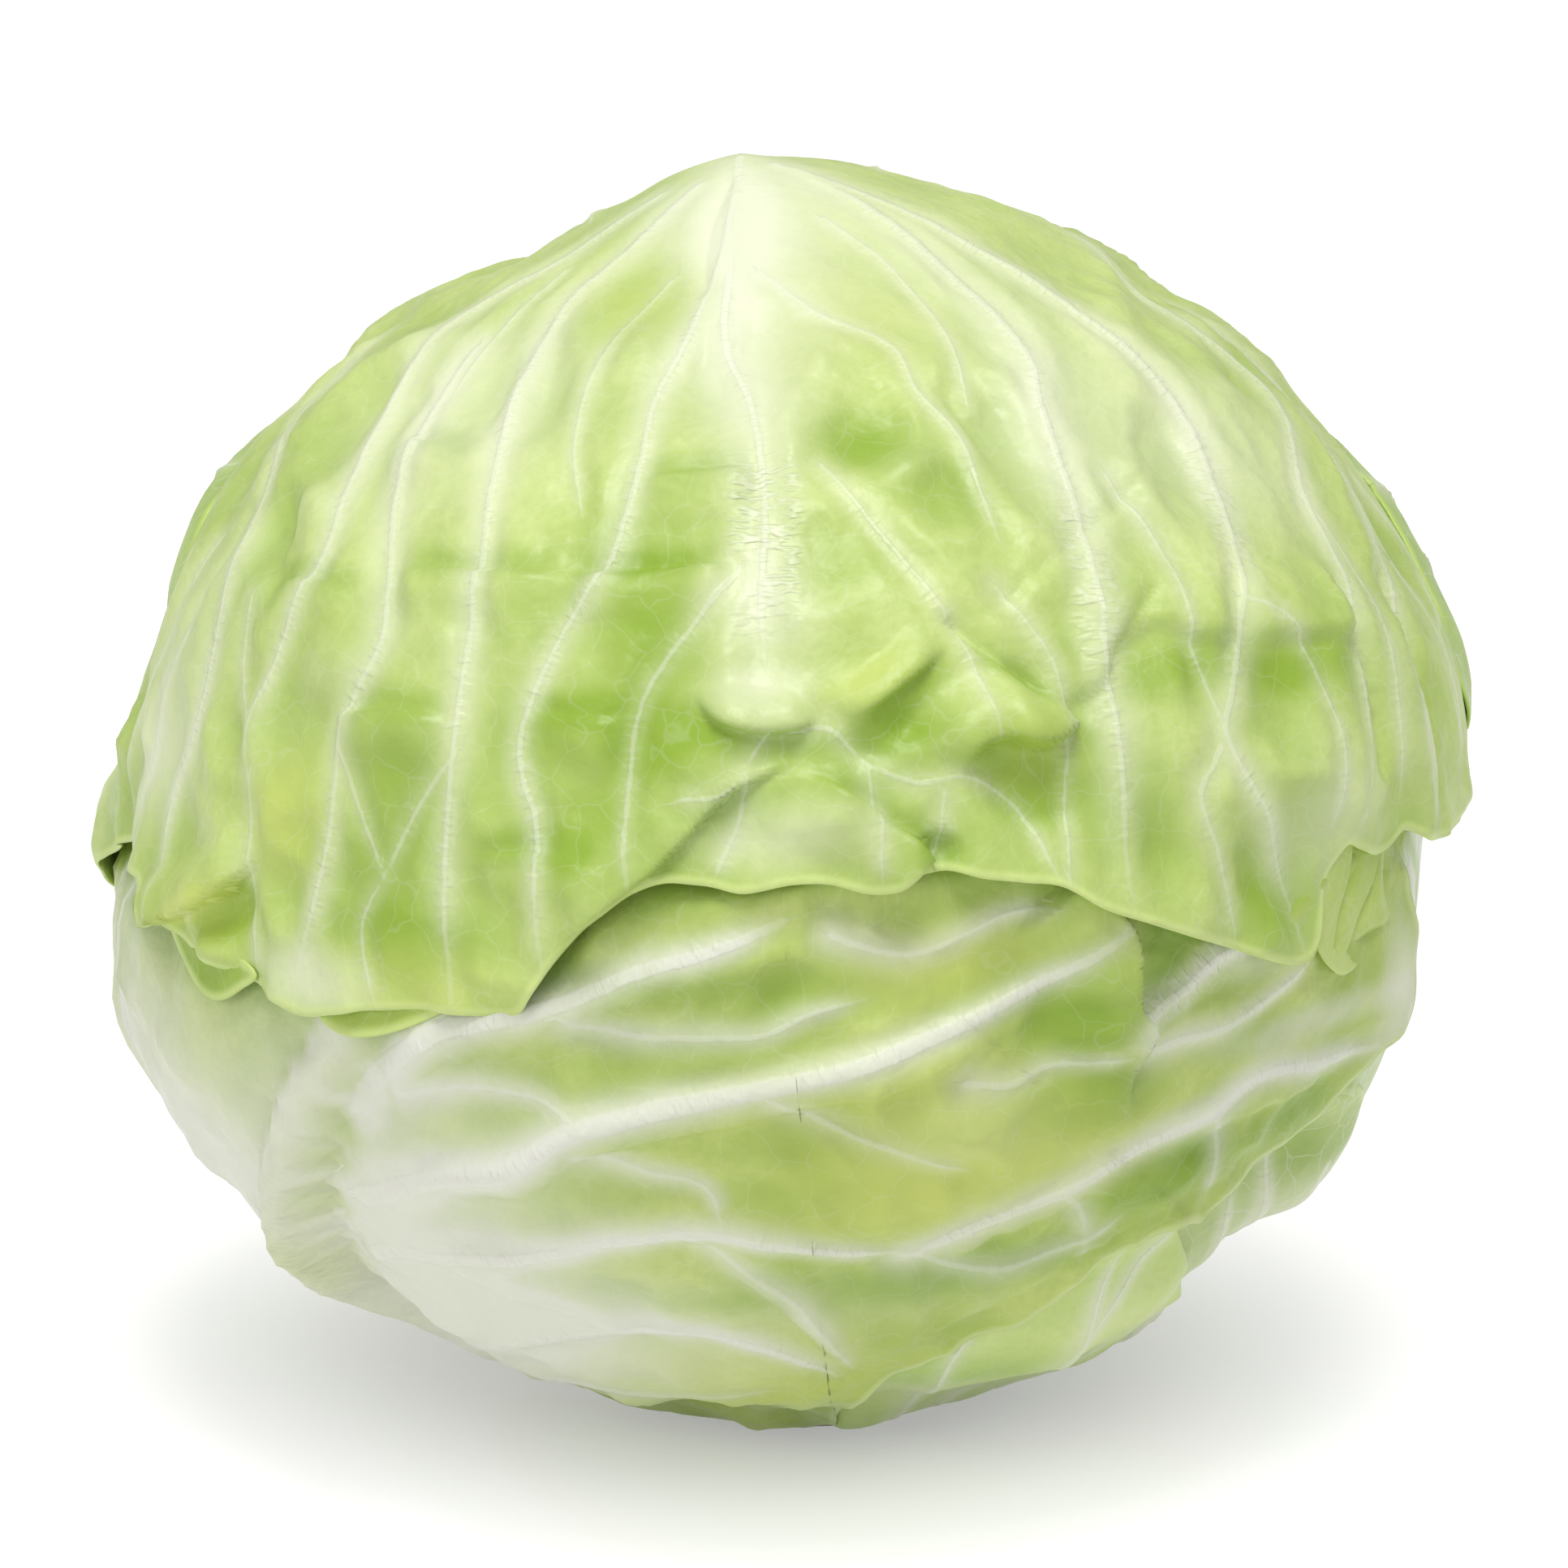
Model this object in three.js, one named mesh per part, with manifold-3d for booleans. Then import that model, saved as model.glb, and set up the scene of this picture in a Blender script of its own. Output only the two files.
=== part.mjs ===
// A round white cabbage head, trimmed for market, standing on its cut stem.
//
// Millimetres and degrees, +Z up, the front of the head faces -Y. The origin is the centre of the
// stem's cut face, which is the flat spot that the head rests on.
//
// Every leaf lies on one common head form, each at its own depth below it, like the layers of an
// onion. A place on the form is given by two angles: azimuth, which is 0 at the front and 90 on
// the right, and polar, which is 0 at the tip of the head and 180 under the stem.

import * as THREE from 'three';
import { mergeVertices } from 'three/addons/utils/BufferGeometryUtils.js';
import Module from 'manifold-3d';

const wasm = await Module();
wasm.setup();

// ---------------------------------------------------------------------------------------------
// Driving dimensions
// ---------------------------------------------------------------------------------------------

// The head form: its centre, how far it leans to the left as it rests, and its radius every
// 20 degrees of polar angle from the tip down, on each of its four sides.
const FORM_CENTRE = new THREE.Vector3(-4, 0, 94.5);
const FORM_LEAN = -4;
const FORM_STEP = 20;
const FORM_RADII = {
  front: [93, 89.5, 91, 96, 99.5, 101, 99.5, 98.5, 98, 95],
  right: [93, 91, 91, 94.5, 100, 99, 101.5, 98.5, 98, 95],
  back: [93, 88.5, 90, 94, 97.5, 98.5, 97.5, 96, 94.5, 95],
  left: [93, 87, 89.5, 94, 96.5, 103.5, 101.5, 95.5, 95.5, 95],
};
const TIP_HEIGHT = 1.2; // how far the pointed tip stands out of the form
const TIP_SPREAD = 6; // polar degrees over which the tip fades into it

// The leaf bases are pressed flat where the head rests: nothing but the stem goes below this.
const REST_CLEARANCE = 0.6;
const PRESSED_HEIGHT = 4;

// Leaves: thickness of the blade, and the depth of each leaf's outer face below the form.
const LEAF_THICKNESS = 1.3;
const DEPTH = {
  rear_leaves: -2.2,
  cap_leaf: 0,
  front_leaf: 2.3,
  right_leaf: 4.2,
  left_leaf: 4.8,
  bottom_front_leaf: 4.2,
  lower_right_leaf: 6.1,
  heart: 8.2,
};
const RING_ANGLE = 9; // widest ring of facets between a leaf's middle and its edge, in degrees
const EDGE_DIVISIONS = 2; // facets along the edge between two outline points

const RIB_STATIONS = 24; // places along a midrib's path where its width and height are taken

// The stem: the stump below and the tapering core that runs up inside the head.
const STUMP_RADIUS = 16;
const STUMP_TOP = 10;
const CORE_RADIUS = 13;
const CORE_TOP = 72;
const CORE_TIP_RADIUS = 6;
const STEM_SIDES = 32;
const STEM_GAP = 0.5; // clearance between the core and the heart around it

const HEART_COLUMNS = 32;
const HEART_RINGS = 16;

// ---------------------------------------------------------------------------------------------
// The head form
// ---------------------------------------------------------------------------------------------

const radians = THREE.MathUtils.degToRad;

// A smooth curve through the radii of one side.
function sideRadius(radii, polar) {
  const last = radii.length - 1;
  const place = Math.min(Math.max(polar / FORM_STEP, 0), last - 1e-6);
  const i = Math.floor(place);
  const t = place - i;
  const before = radii[i === 0 ? 1 : i - 1];
  const after = radii[i + 2 > last ? last - 1 : i + 2];
  const here = radii[i];
  const next = radii[i + 1];
  const slope = next - before;
  const bend = 2 * before - 5 * here + 4 * next - after;
  const twist = 3 * (here - next) + after - before;
  return here + 0.5 * t * (slope + t * (bend + t * twist));
}

function formRadius(azimuth, polar) {
  const front = sideRadius(FORM_RADII.front, polar);
  const right = sideRadius(FORM_RADII.right, polar);
  const back = sideRadius(FORM_RADII.back, polar);
  const left = sideRadius(FORM_RADII.left, polar);
  const a = radians(azimuth);
  const mean = (front + right + back + left) / 4;
  const tip = TIP_HEIGHT * Math.exp(-polar / TIP_SPREAD);
  const sideways = ((front - back) / 2) * Math.cos(a) + ((right - left) / 2) * Math.sin(a);
  return mean + tip + sideways + ((front + back - right - left) / 4) * Math.cos(2 * a);
}

function direction(azimuth, polar) {
  const a = radians(azimuth);
  const p = radians(polar);
  return new THREE.Vector3(Math.sin(p) * Math.sin(a), -Math.sin(p) * Math.cos(a), Math.cos(p));
}

// The point of the form in a direction from its centre, moved out by a height above the form.
function formPoint(towards, height) {
  const azimuth = THREE.MathUtils.radToDeg(Math.atan2(towards.x, -towards.y));
  const polar = THREE.MathUtils.radToDeg(Math.acos(THREE.MathUtils.clamp(towards.z, -1, 1)));
  const point = towards.clone().multiplyScalar(formRadius(azimuth, polar) + height);
  point.applyAxisAngle(new THREE.Vector3(0, 1, 0), radians(FORM_LEAN));
  point.add(FORM_CENTRE);
  if (point.z < PRESSED_HEIGHT) {
    const room = PRESSED_HEIGHT - REST_CLEARANCE;
    point.z = REST_CLEARANCE + room * Math.exp((point.z - PRESSED_HEIGHT) / room);
  }
  return point;
}

// A direction part of the way from one to another along the great circle.
function between(from, to, share) {
  const angle = from.angleTo(to);
  const start = from.clone().multiplyScalar(Math.sin((1 - share) * angle));
  return start.addScaledVector(to, Math.sin(share * angle)).divideScalar(Math.sin(angle));
}

// ---------------------------------------------------------------------------------------------
// Closed meshes
// ---------------------------------------------------------------------------------------------

function meshGeometry(points, triangles) {
  const geometry = new THREE.BufferGeometry();
  const coordinates = points.flatMap((point) => point.toArray());
  geometry.setAttribute('position', new THREE.Float32BufferAttribute(coordinates, 3));
  geometry.setIndex(triangles);
  geometry.computeVertexNormals();
  return geometry;
}

function solidOf(geometry) {
  const bare = geometry.clone();
  bare.deleteAttribute('normal');
  bare.deleteAttribute('uv');
  const merged = mergeVertices(bare, 1e-4);
  const vertProperties = merged.attributes.position.array;
  const triVerts = Uint32Array.from(merged.index.array);
  return new wasm.Manifold(new wasm.Mesh({ numProp: 3, vertProperties, triVerts }));
}

function geometryOf(solid) {
  const { vertProperties, triVerts } = solid.getMesh();
  const geometry = new THREE.BufferGeometry();
  geometry.setAttribute('position', new THREE.BufferAttribute(vertProperties, 3));
  geometry.setIndex(new THREE.BufferAttribute(triVerts, 1));
  geometry.computeVertexNormals();
  return geometry;
}

// How far a midrib stands out of its blade in a direction: a rounded ridge along a path on the form.
function ribRelief({ path, width, height }, towards) {
  const route = path.map(([azimuth, polar]) => direction(azimuth, polar));
  const spine = new THREE.CatmullRomCurve3(route, false, 'centripetal').getPoints(RIB_STATIONS);
  const gaps = spine.map((station) => station.angleTo(towards) * FORM_CENTRE.z);
  const gap = Math.min(...gaps);
  const along = gaps.indexOf(gap) / RIB_STATIONS;
  const halfWidth = THREE.MathUtils.lerp(width[0], width[1], along) / 2;
  const crown = Math.max(0, 1 - (gap / halfWidth) ** 2);
  return THREE.MathUtils.lerp(height[0], height[1], along) * crown;
}

// A blade: an outer and an inner face around a middle direction, joined along the edge.
function bladeGeometry({ middle, outline, depth, rib }) {
  const corners = outline.map(([azimuth, polar]) => direction(azimuth, polar));
  const edge = new THREE.CatmullRomCurve3(corners, true, 'centripetal');
  const columns = corners.length * EDGE_DIVISIONS;
  const centre = direction(...middle);
  const reach = Math.max(...corners.map((corner) => centre.angleTo(corner)));
  const rings = Math.ceil(reach / radians(RING_ANGLE));
  const points = [];
  const triangles = [];
  const faces = [-depth, -depth - LEAF_THICKNESS].map((height, side) => {
    const first = points.length;
    const place = (towards) => {
      const relief = rib && side === 0 ? ribRelief(rib, towards) : 0;
      points.push(formPoint(towards, height + relief));
    };
    place(centre);
    for (let ring = 1; ring <= rings; ring += 1) {
      for (let column = 0; column < columns; column += 1) {
        const rim = edge.getPoint(column / columns).normalize();
        place(between(centre, rim, ring / rings));
      }
    }
    const at = (ring, column) => first + 1 + (ring - 1) * columns + (column % columns);
    const add = (a, b, c) => triangles.push(...(side === 0 ? [a, b, c] : [a, c, b]));
    for (let column = 0; column < columns; column += 1) {
      add(first, at(1, column), at(1, column + 1));
      for (let ring = 1; ring < rings; ring += 1) {
        add(at(ring, column), at(ring + 1, column), at(ring + 1, column + 1));
        add(at(ring, column), at(ring + 1, column + 1), at(ring, column + 1));
      }
    }
    return at;
  });
  const [outer, inner] = faces;
  for (let column = 0; column < columns; column += 1) {
    const [a, b] = [outer(rings, column), outer(rings, column + 1)];
    const [c, d] = [inner(rings, column), inner(rings, column + 1)];
    triangles.push(a, c, d, a, d, b);
  }
  return meshGeometry(points, triangles);
}

// ---------------------------------------------------------------------------------------------
// Leaves, from the outside in
// ---------------------------------------------------------------------------------------------

const LEAF_FINISH = { roughness: 0.5, metalness: 0 };

const leaves = [
  // The leaf folded over the top: fixed to the back of the stem, its midrib runs up the back and
  // over the tip, and its free edge hangs in lobes across the front.
  {
    name: 'cap_leaf',
    colour: '#b9d97c',
    depth: DEPTH.cap_leaf,
    middle: [0, 0.01],
    outline: [
      [-17, 86], [-11, 82], [-4, 82], [4, 83], [12, 82], [19, 84], [25, 86], [31, 90], [36, 92],
      [43, 95], [47, 96], [49, 92], [54, 89], [60, 90], [68, 91], [76, 92], [84, 91], [96, 94],
      [112, 104], [130, 118], [146, 136], [156, 154], [164, 167], [180, 169], [-164, 167],
      [-156, 154], [-148, 136], [-130, 118], [-112, 106], [-98, 98], [-86, 91], [-74, 89],
      [-64, 91], [-56, 92], [-48, 93], [-40, 94], [-35, 93], [-30, 92], [-24, 92], [-20, 91],
    ],
    rib: { path: [[178, 161], [181, 130], [179, 95], [181, 62]], width: [20, 6], height: [3.5, 1] },
  },
  // The leaf on the outside of the back, to the left of the cap leaf's midrib.
  {
    name: 'left_rear_leaf',
    colour: '#a9cf6a',
    depth: DEPTH.rear_leaves,
    middle: [-128, 108],
    outline: [
      [-102, 54], [-116, 54], [-134, 60], [-150, 75], [-160, 96], [-163, 122], [-162, 146],
      [-162, 164], [-144, 168], [-126, 167], [-114, 160], [-110, 146], [-105, 128], [-105, 110],
      [-104, 92], [-98, 80], [-92, 72], [-90, 66], [-94, 60],
    ],
    rib: { path: [[-138, 161], [-132, 130], [-126, 100], [-122, 75]], width: [22, 5], height: [4, 1] },
  },
  // Its neighbour on the right.
  {
    name: 'right_rear_leaf',
    colour: '#a9cf6a',
    depth: DEPTH.rear_leaves,
    middle: [126, 108],
    outline: [
      [92, 70], [87, 78], [86, 87], [92, 96], [99, 108], [101, 124], [105, 140], [110, 156],
      [122, 167], [140, 168], [158, 165], [161, 148], [162, 125], [158, 98], [148, 78], [133, 66],
      [115, 61], [101, 63],
    ],
    rib: { path: [[135, 161], [130, 130], [124, 102], [118, 80]], width: [22, 5], height: [4, 1] },
  },
  // The leaf that wraps the front from a thick white midrib at the lower left. Its upper edge is
  // under the cap leaf.
  {
    name: 'front_leaf',
    colour: '#dfe8c4',
    depth: DEPTH.front_leaf,
    middle: [-28, 104],
    outline: [
      [-36, 165], [-30, 155], [-24, 146], [-14, 142], [0, 138], [12, 134], [22, 129], [33, 122],
      [44, 120], [52, 116], [59, 110], [65, 104], [63, 94], [60, 84], [50, 75], [26, 68], [0, 64],
      [-26, 61], [-55, 62], [-84, 70], [-108, 82], [-122, 98], [-124, 115], [-112, 132], [-98, 148],
      [-88, 160], [-70, 168], [-50, 168],
    ],
    rib: { path: [[-60, 158], [-65, 142], [-61, 125], [-48, 108], [-40, 100]], width: [17, 9], height: [6, 1.5] },
  },
  // The leaf that closes the right side, between the front leaf and the rear leaf.
  {
    name: 'right_leaf',
    colour: '#cfe0a6',
    depth: DEPTH.right_leaf,
    middle: [92, 112],
    outline: [
      [50, 76], [46, 90], [49, 106], [60, 119], [74, 132], [82, 148], [84, 160], [96, 167],
      [114, 167], [128, 158], [136, 144], [141, 124], [138, 104], [124, 88], [104, 77], [84, 69],
      [65, 68],
    ],
  },
  // The leaf that closes the left side, under the front leaf and the left rear leaf.
  {
    name: 'left_leaf',
    colour: '#cfe0a6',
    depth: DEPTH.left_leaf,
    middle: [-106, 124],
    outline: [
      [-74, 92], [-100, 84], [-126, 88], [-142, 102], [-148, 122], [-146, 144], [-138, 160],
      [-120, 167], [-98, 167], [-84, 158], [-74, 142], [-66, 124], [-66, 106],
    ],
  },
  // The leaf below the front leaf's free edge.
  {
    name: 'bottom_front_leaf',
    colour: '#c3dd8e',
    depth: DEPTH.bottom_front_leaf,
    middle: [4, 138],
    outline: [
      [-50, 140], [-42, 156], [-32, 166], [-10, 168], [14, 168], [34, 166], [44, 156], [49, 144],
      [50, 133], [47, 122], [40, 112], [24, 106], [-2, 105], [-30, 112], [-48, 124],
    ],
  },
  // The leaf behind those two, at the lower right.
  {
    name: 'lower_right_leaf',
    colour: '#c9de98',
    depth: DEPTH.lower_right_leaf,
    middle: [64, 136],
    outline: [
      [38, 132], [36, 148], [40, 162], [58, 168], [78, 167], [90, 158], [92, 144], [91, 130],
      [86, 116], [72, 108], [54, 106], [38, 114],
    ],
  },
];

function leafMesh(leaf) {
  const material = new THREE.MeshStandardMaterial({ color: leaf.colour, ...LEAF_FINISH });
  const mesh = new THREE.Mesh(bladeGeometry(leaf), material);
  mesh.name = leaf.name;
  return mesh;
}

// ---------------------------------------------------------------------------------------------
// Stem and heart
// ---------------------------------------------------------------------------------------------

// The stem's outline, turned about its axis, with a clearance around it where a pocket is cut.
function stemGeometry(clearance) {
  const foot = clearance > 0 ? -clearance : 0;
  const profile = [
    [0, foot],
    [STUMP_RADIUS + clearance, foot],
    [STUMP_RADIUS + clearance, STUMP_TOP],
    [CORE_RADIUS + clearance, STUMP_TOP * 2],
    [CORE_TIP_RADIUS + clearance, CORE_TOP],
    [0, CORE_TOP + CORE_TIP_RADIUS + clearance],
  ];
  const lathe = new THREE.LatheGeometry(profile.map(([r, z]) => new THREE.Vector2(r, z)), STEM_SIDES);
  return lathe.rotateX(Math.PI / 2);
}

function stemMesh() {
  const material = new THREE.MeshStandardMaterial({ color: '#e6ead2', roughness: 0.6, metalness: 0 });
  const mesh = new THREE.Mesh(stemGeometry(0), material);
  mesh.name = 'stem';
  return mesh;
}

// The tight inner leaves, as one mass with a pocket for the core.
function heartMesh() {
  const sphere = mergeVertices(new THREE.SphereGeometry(1, HEART_COLUMNS, HEART_RINGS).rotateX(Math.PI / 2));
  const place = sphere.attributes.position;
  for (let i = 0; i < place.count; i += 1) {
    const towards = new THREE.Vector3().fromBufferAttribute(place, i).normalize();
    place.setXYZ(i, ...formPoint(towards, -DEPTH.heart).toArray());
  }
  const heart = solidOf(sphere).subtract(solidOf(stemGeometry(STEM_GAP)));
  const material = new THREE.MeshStandardMaterial({ color: '#d6e3b0', roughness: 0.55, metalness: 0 });
  const mesh = new THREE.Mesh(geometryOf(heart), material);
  mesh.name = 'heart';
  return mesh;
}

const cabbage = new THREE.Group();
cabbage.add(stemMesh(), heartMesh(), ...leaves.map(leafMesh));

export default cabbage;
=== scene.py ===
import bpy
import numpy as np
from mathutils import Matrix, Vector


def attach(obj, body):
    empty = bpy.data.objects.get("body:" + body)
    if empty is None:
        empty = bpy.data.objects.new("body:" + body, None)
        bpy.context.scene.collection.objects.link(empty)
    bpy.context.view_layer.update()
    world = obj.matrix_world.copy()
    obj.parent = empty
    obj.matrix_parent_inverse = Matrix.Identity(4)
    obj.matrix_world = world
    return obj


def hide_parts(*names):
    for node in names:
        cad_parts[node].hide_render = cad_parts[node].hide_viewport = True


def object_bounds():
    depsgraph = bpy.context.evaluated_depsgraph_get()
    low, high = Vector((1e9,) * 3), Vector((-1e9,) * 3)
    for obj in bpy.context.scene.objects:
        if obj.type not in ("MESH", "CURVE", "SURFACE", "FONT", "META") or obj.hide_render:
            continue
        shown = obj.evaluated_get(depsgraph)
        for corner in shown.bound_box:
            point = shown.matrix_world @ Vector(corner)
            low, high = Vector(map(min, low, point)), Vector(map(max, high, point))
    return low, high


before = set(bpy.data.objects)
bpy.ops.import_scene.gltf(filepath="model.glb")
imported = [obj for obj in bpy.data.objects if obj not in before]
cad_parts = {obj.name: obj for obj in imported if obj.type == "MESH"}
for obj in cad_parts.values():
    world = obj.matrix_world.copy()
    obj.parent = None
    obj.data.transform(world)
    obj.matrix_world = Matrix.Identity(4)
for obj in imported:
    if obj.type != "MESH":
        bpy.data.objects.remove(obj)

# A round white cabbage head, trimmed for market: leaves wrapped over one another on a cut stem.
#
# The leaves all lie on one head form, each at its own depth, as they grew. A place on the form is
# an azimuth, 0 at the front and 90 on the right, and a polar angle, 0 at the tip of the head and
# 180 under the stem, both in degrees. Lengths are millimetres until a mesh is made.

cad_low, cad_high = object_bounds()
HEAD_HEIGHT = 188.47
MM = (cad_high.z - cad_low.z) / HEAD_HEIGHT  # metres to one millimetre of a head of that height


# ---------------------------------------------------------------------------------------------
# Stem: the tough white stalk that every leaf grows from, sawn off flat under the head. Inside
# the head it goes on as a tapering core. A ring of paler bundles shows in the cut.
# ---------------------------------------------------------------------------------------------

STUMP_RADIUS = 16
STUMP_TOP = 10
CORE_RADIUS = 13
CORE_TOP = 72
CORE_TIP_RADIUS = 6
CUT_RECESS = 0.3  # the pith dries and draws in a little behind the rim of the cut


def linear(code):
    """A colour written as sRGB hex, as the linear values that a shader takes."""
    parts = np.array([int(code[i : i + 2], 16) for i in (1, 3, 5)]) / 255
    low = parts / 12.92
    high = ((parts + 0.055) / 1.055) ** 2.4
    return (*np.where(parts <= 0.04045, low, high).tolist(), 1.0)


def add_node(tree, kind, inputs=None, **settings):
    """Adds a node with its settings. An input given as a socket is linked, any other is set."""
    made = tree.nodes.new(kind)
    for name, value in settings.items():
        setattr(made, name, value)
    for key, value in (inputs or {}).items():
        if isinstance(value, bpy.types.NodeSocket):
            tree.links.new(value, made.inputs[key])
        else:
            made.inputs[key].default_value = value
    return made


def new_material(name):
    """An empty node material."""
    material = bpy.data.materials.new(name)
    material.use_nodes = True
    material.node_tree.nodes.clear()
    return material


def plain_mesh(name, points, faces, finish, attributes=None):
    """An object at the origin, made from points in millimetres, with its point attributes."""
    mesh = bpy.data.meshes.new(name)
    mesh.from_pydata((np.asarray(points) * MM).tolist(), [], faces)
    for key, values in (attributes or {}).items():
        is_vector = values.ndim == 2
        layer = mesh.attributes.new(key, "FLOAT_VECTOR" if is_vector else "FLOAT", "POINT")
        layer.data.foreach_set("vector" if is_vector else "value", values.astype(np.float32).ravel())
    mesh.materials.append(finish)
    mesh.shade_smooth()
    mesh.update()
    piece = bpy.data.objects.new(name, mesh)
    bpy.context.scene.collection.objects.link(piece)
    return piece


def ring_faces(starts, counts):
    """Faces between rings of points, each with the same number or half or double that of its
    neighbour. A ring of one point is a pole. Faces point out where rings run down the outside."""
    faces = []
    for (first, n), (second, m) in zip(zip(starts, counts), zip(starts[1:], counts[1:])):
        if n == 1:
            faces += [(first, second + i, second + (i + 1) % m) for i in range(m)]
        elif m == 1:
            faces += [(first + i, second, first + (i + 1) % n) for i in range(n)]
        elif n == m:
            faces += [
                (first + i, second + i, second + (i + 1) % m, first + (i + 1) % n) for i in range(n)
            ]
        elif m == 2 * n:
            for i in range(n):
                a, b = first + i, first + (i + 1) % n
                p, q, r = second + 2 * i, second + 2 * i + 1, second + (2 * i + 2) % m
                faces += [(a, p, q), (a, q, b), (b, q, r)]
        else:
            for i in range(m):
                a, b = second + i, second + (i + 1) % m
                p, q, r = first + 2 * i, first + 2 * i + 1, first + (2 * i + 2) % n
                faces += [(a, q, p), (a, b, q), (b, r, q)]
    return faces


def stalk_material():
    """Fresh cut stalk: white, fibrous, moist flesh, so it is fairly smooth and lets light in."""
    material = new_material("fresh_cut_stalk")
    tree = material.node_tree
    place = add_node(tree, "ShaderNodeTexCoord").outputs["Object"]
    in_mm = add_node(tree, "ShaderNodeMapping", {"Vector": place, "Scale": [1 / MM] * 3}).outputs[0]
    fibres = add_node(
        tree, "ShaderNodeMapping", {"Vector": in_mm, "Scale": (1 / 0.9, 1 / 0.9, 1 / 8)}
    ).outputs[0]  # fibres 0.9 mm across and about 8 mm long, up the stalk
    grain = add_node(tree, "ShaderNodeTexNoise", {"Vector": fibres, "Scale": 1.0, "Detail": 3.0})
    blotch = add_node(tree, "ShaderNodeTexNoise", {"Vector": in_mm, "Scale": 1 / 7, "Detail": 2.0})
    flesh = add_node(
        tree, "ShaderNodeMix",
        {0: blotch.outputs["Fac"], 6: linear("#e9ecd6"), 7: linear("#d3dab0")}, data_type="RGBA",
    )
    streaks = add_node(
        tree, "ShaderNodeMapRange",
        {0: grain.outputs["Fac"], 1: 0.45, 2: 0.75, 3: 0.0, 4: 0.45},
    )
    coloured = add_node(
        tree, "ShaderNodeMix",
        {0: streaks.outputs[0], 6: flesh.outputs[2], 7: linear("#c6ca9e")}, data_type="RGBA",
    )
    bump = add_node(
        tree, "ShaderNodeBump",
        {"Height": grain.outputs["Fac"], "Distance": 0.25 * MM, "Strength": 0.8},
    )
    shader = add_node(
        tree, "ShaderNodeBsdfPrincipled",
        {
            "Base Color": coloured.outputs[2], "Roughness": 0.5, "IOR": 1.4,
            "Subsurface Weight": 0.15, "Subsurface Radius": (1.0, 0.9, 0.5),
            "Subsurface Scale": 2.5 * MM, "Normal": bump.outputs[0],
        },
    )
    add_node(tree, "ShaderNodeOutputMaterial", {"Surface": shader.outputs[0]})
    return material


def stalk_mesh(finish):
    """The stump and core, turned about the stem's axis, with knobbly scars of trimmed leaves."""
    profile = np.array([
        (0, CUT_RECESS), (4, CUT_RECESS), (8, CUT_RECESS * 0.9), (12, CUT_RECESS * 0.7),
        (STUMP_RADIUS - 1.6, CUT_RECESS * 0.4), (STUMP_RADIUS - 0.7, 0.0), (STUMP_RADIUS - 0.1, 0.4),
        (STUMP_RADIUS, 1.4), (STUMP_RADIUS, 3), (STUMP_RADIUS, 5), (STUMP_RADIUS, 7.5),
        (STUMP_RADIUS, STUMP_TOP), (15.2, 12), (14.2, 15), (CORE_RADIUS, 20), (12.3, 26),
        (11.2, 34), (9.9, 44), (8.4, 54), (7.2, 63), (CORE_TIP_RADIUS, CORE_TOP),
        (4.6, 75), (2.4, 77.2), (0, 78),
    ])
    stations = np.linspace(0, len(profile) - 1, 92)
    radius = np.interp(stations, np.arange(len(profile)), profile[:, 0])
    height = np.interp(stations, np.arange(len(profile)), profile[:, 1])
    around = np.linspace(0, 2 * np.pi, 96, endpoint=False)
    points, starts, counts = [], [], []
    for r, z in zip(radius[::-1], height[::-1]):
        starts.append(len(points))
        if r < 1e-6:
            points.append((0.0, 0.0, z))
            counts.append(1)
            continue
        on_side = np.clip((z - 0.6) / 2, 0, 1)
        scar = 0.45 * np.sin(3 * around + z * 0.9) * np.sin(z * 1.7 + 2 * np.sin(around))
        lean_in = -0.35 + 0.3 * np.cos(2 * around + 0.4)
        out = r + on_side * np.minimum(scar, 0.35) * 0.8 + on_side * lean_in * (r / STUMP_RADIUS)
        points += list(zip(out * np.cos(around), out * np.sin(around), np.full(96, z)))
        counts.append(96)
    return plain_mesh("stem_stalk", points, ring_faces(starts, counts), finish)


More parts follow.
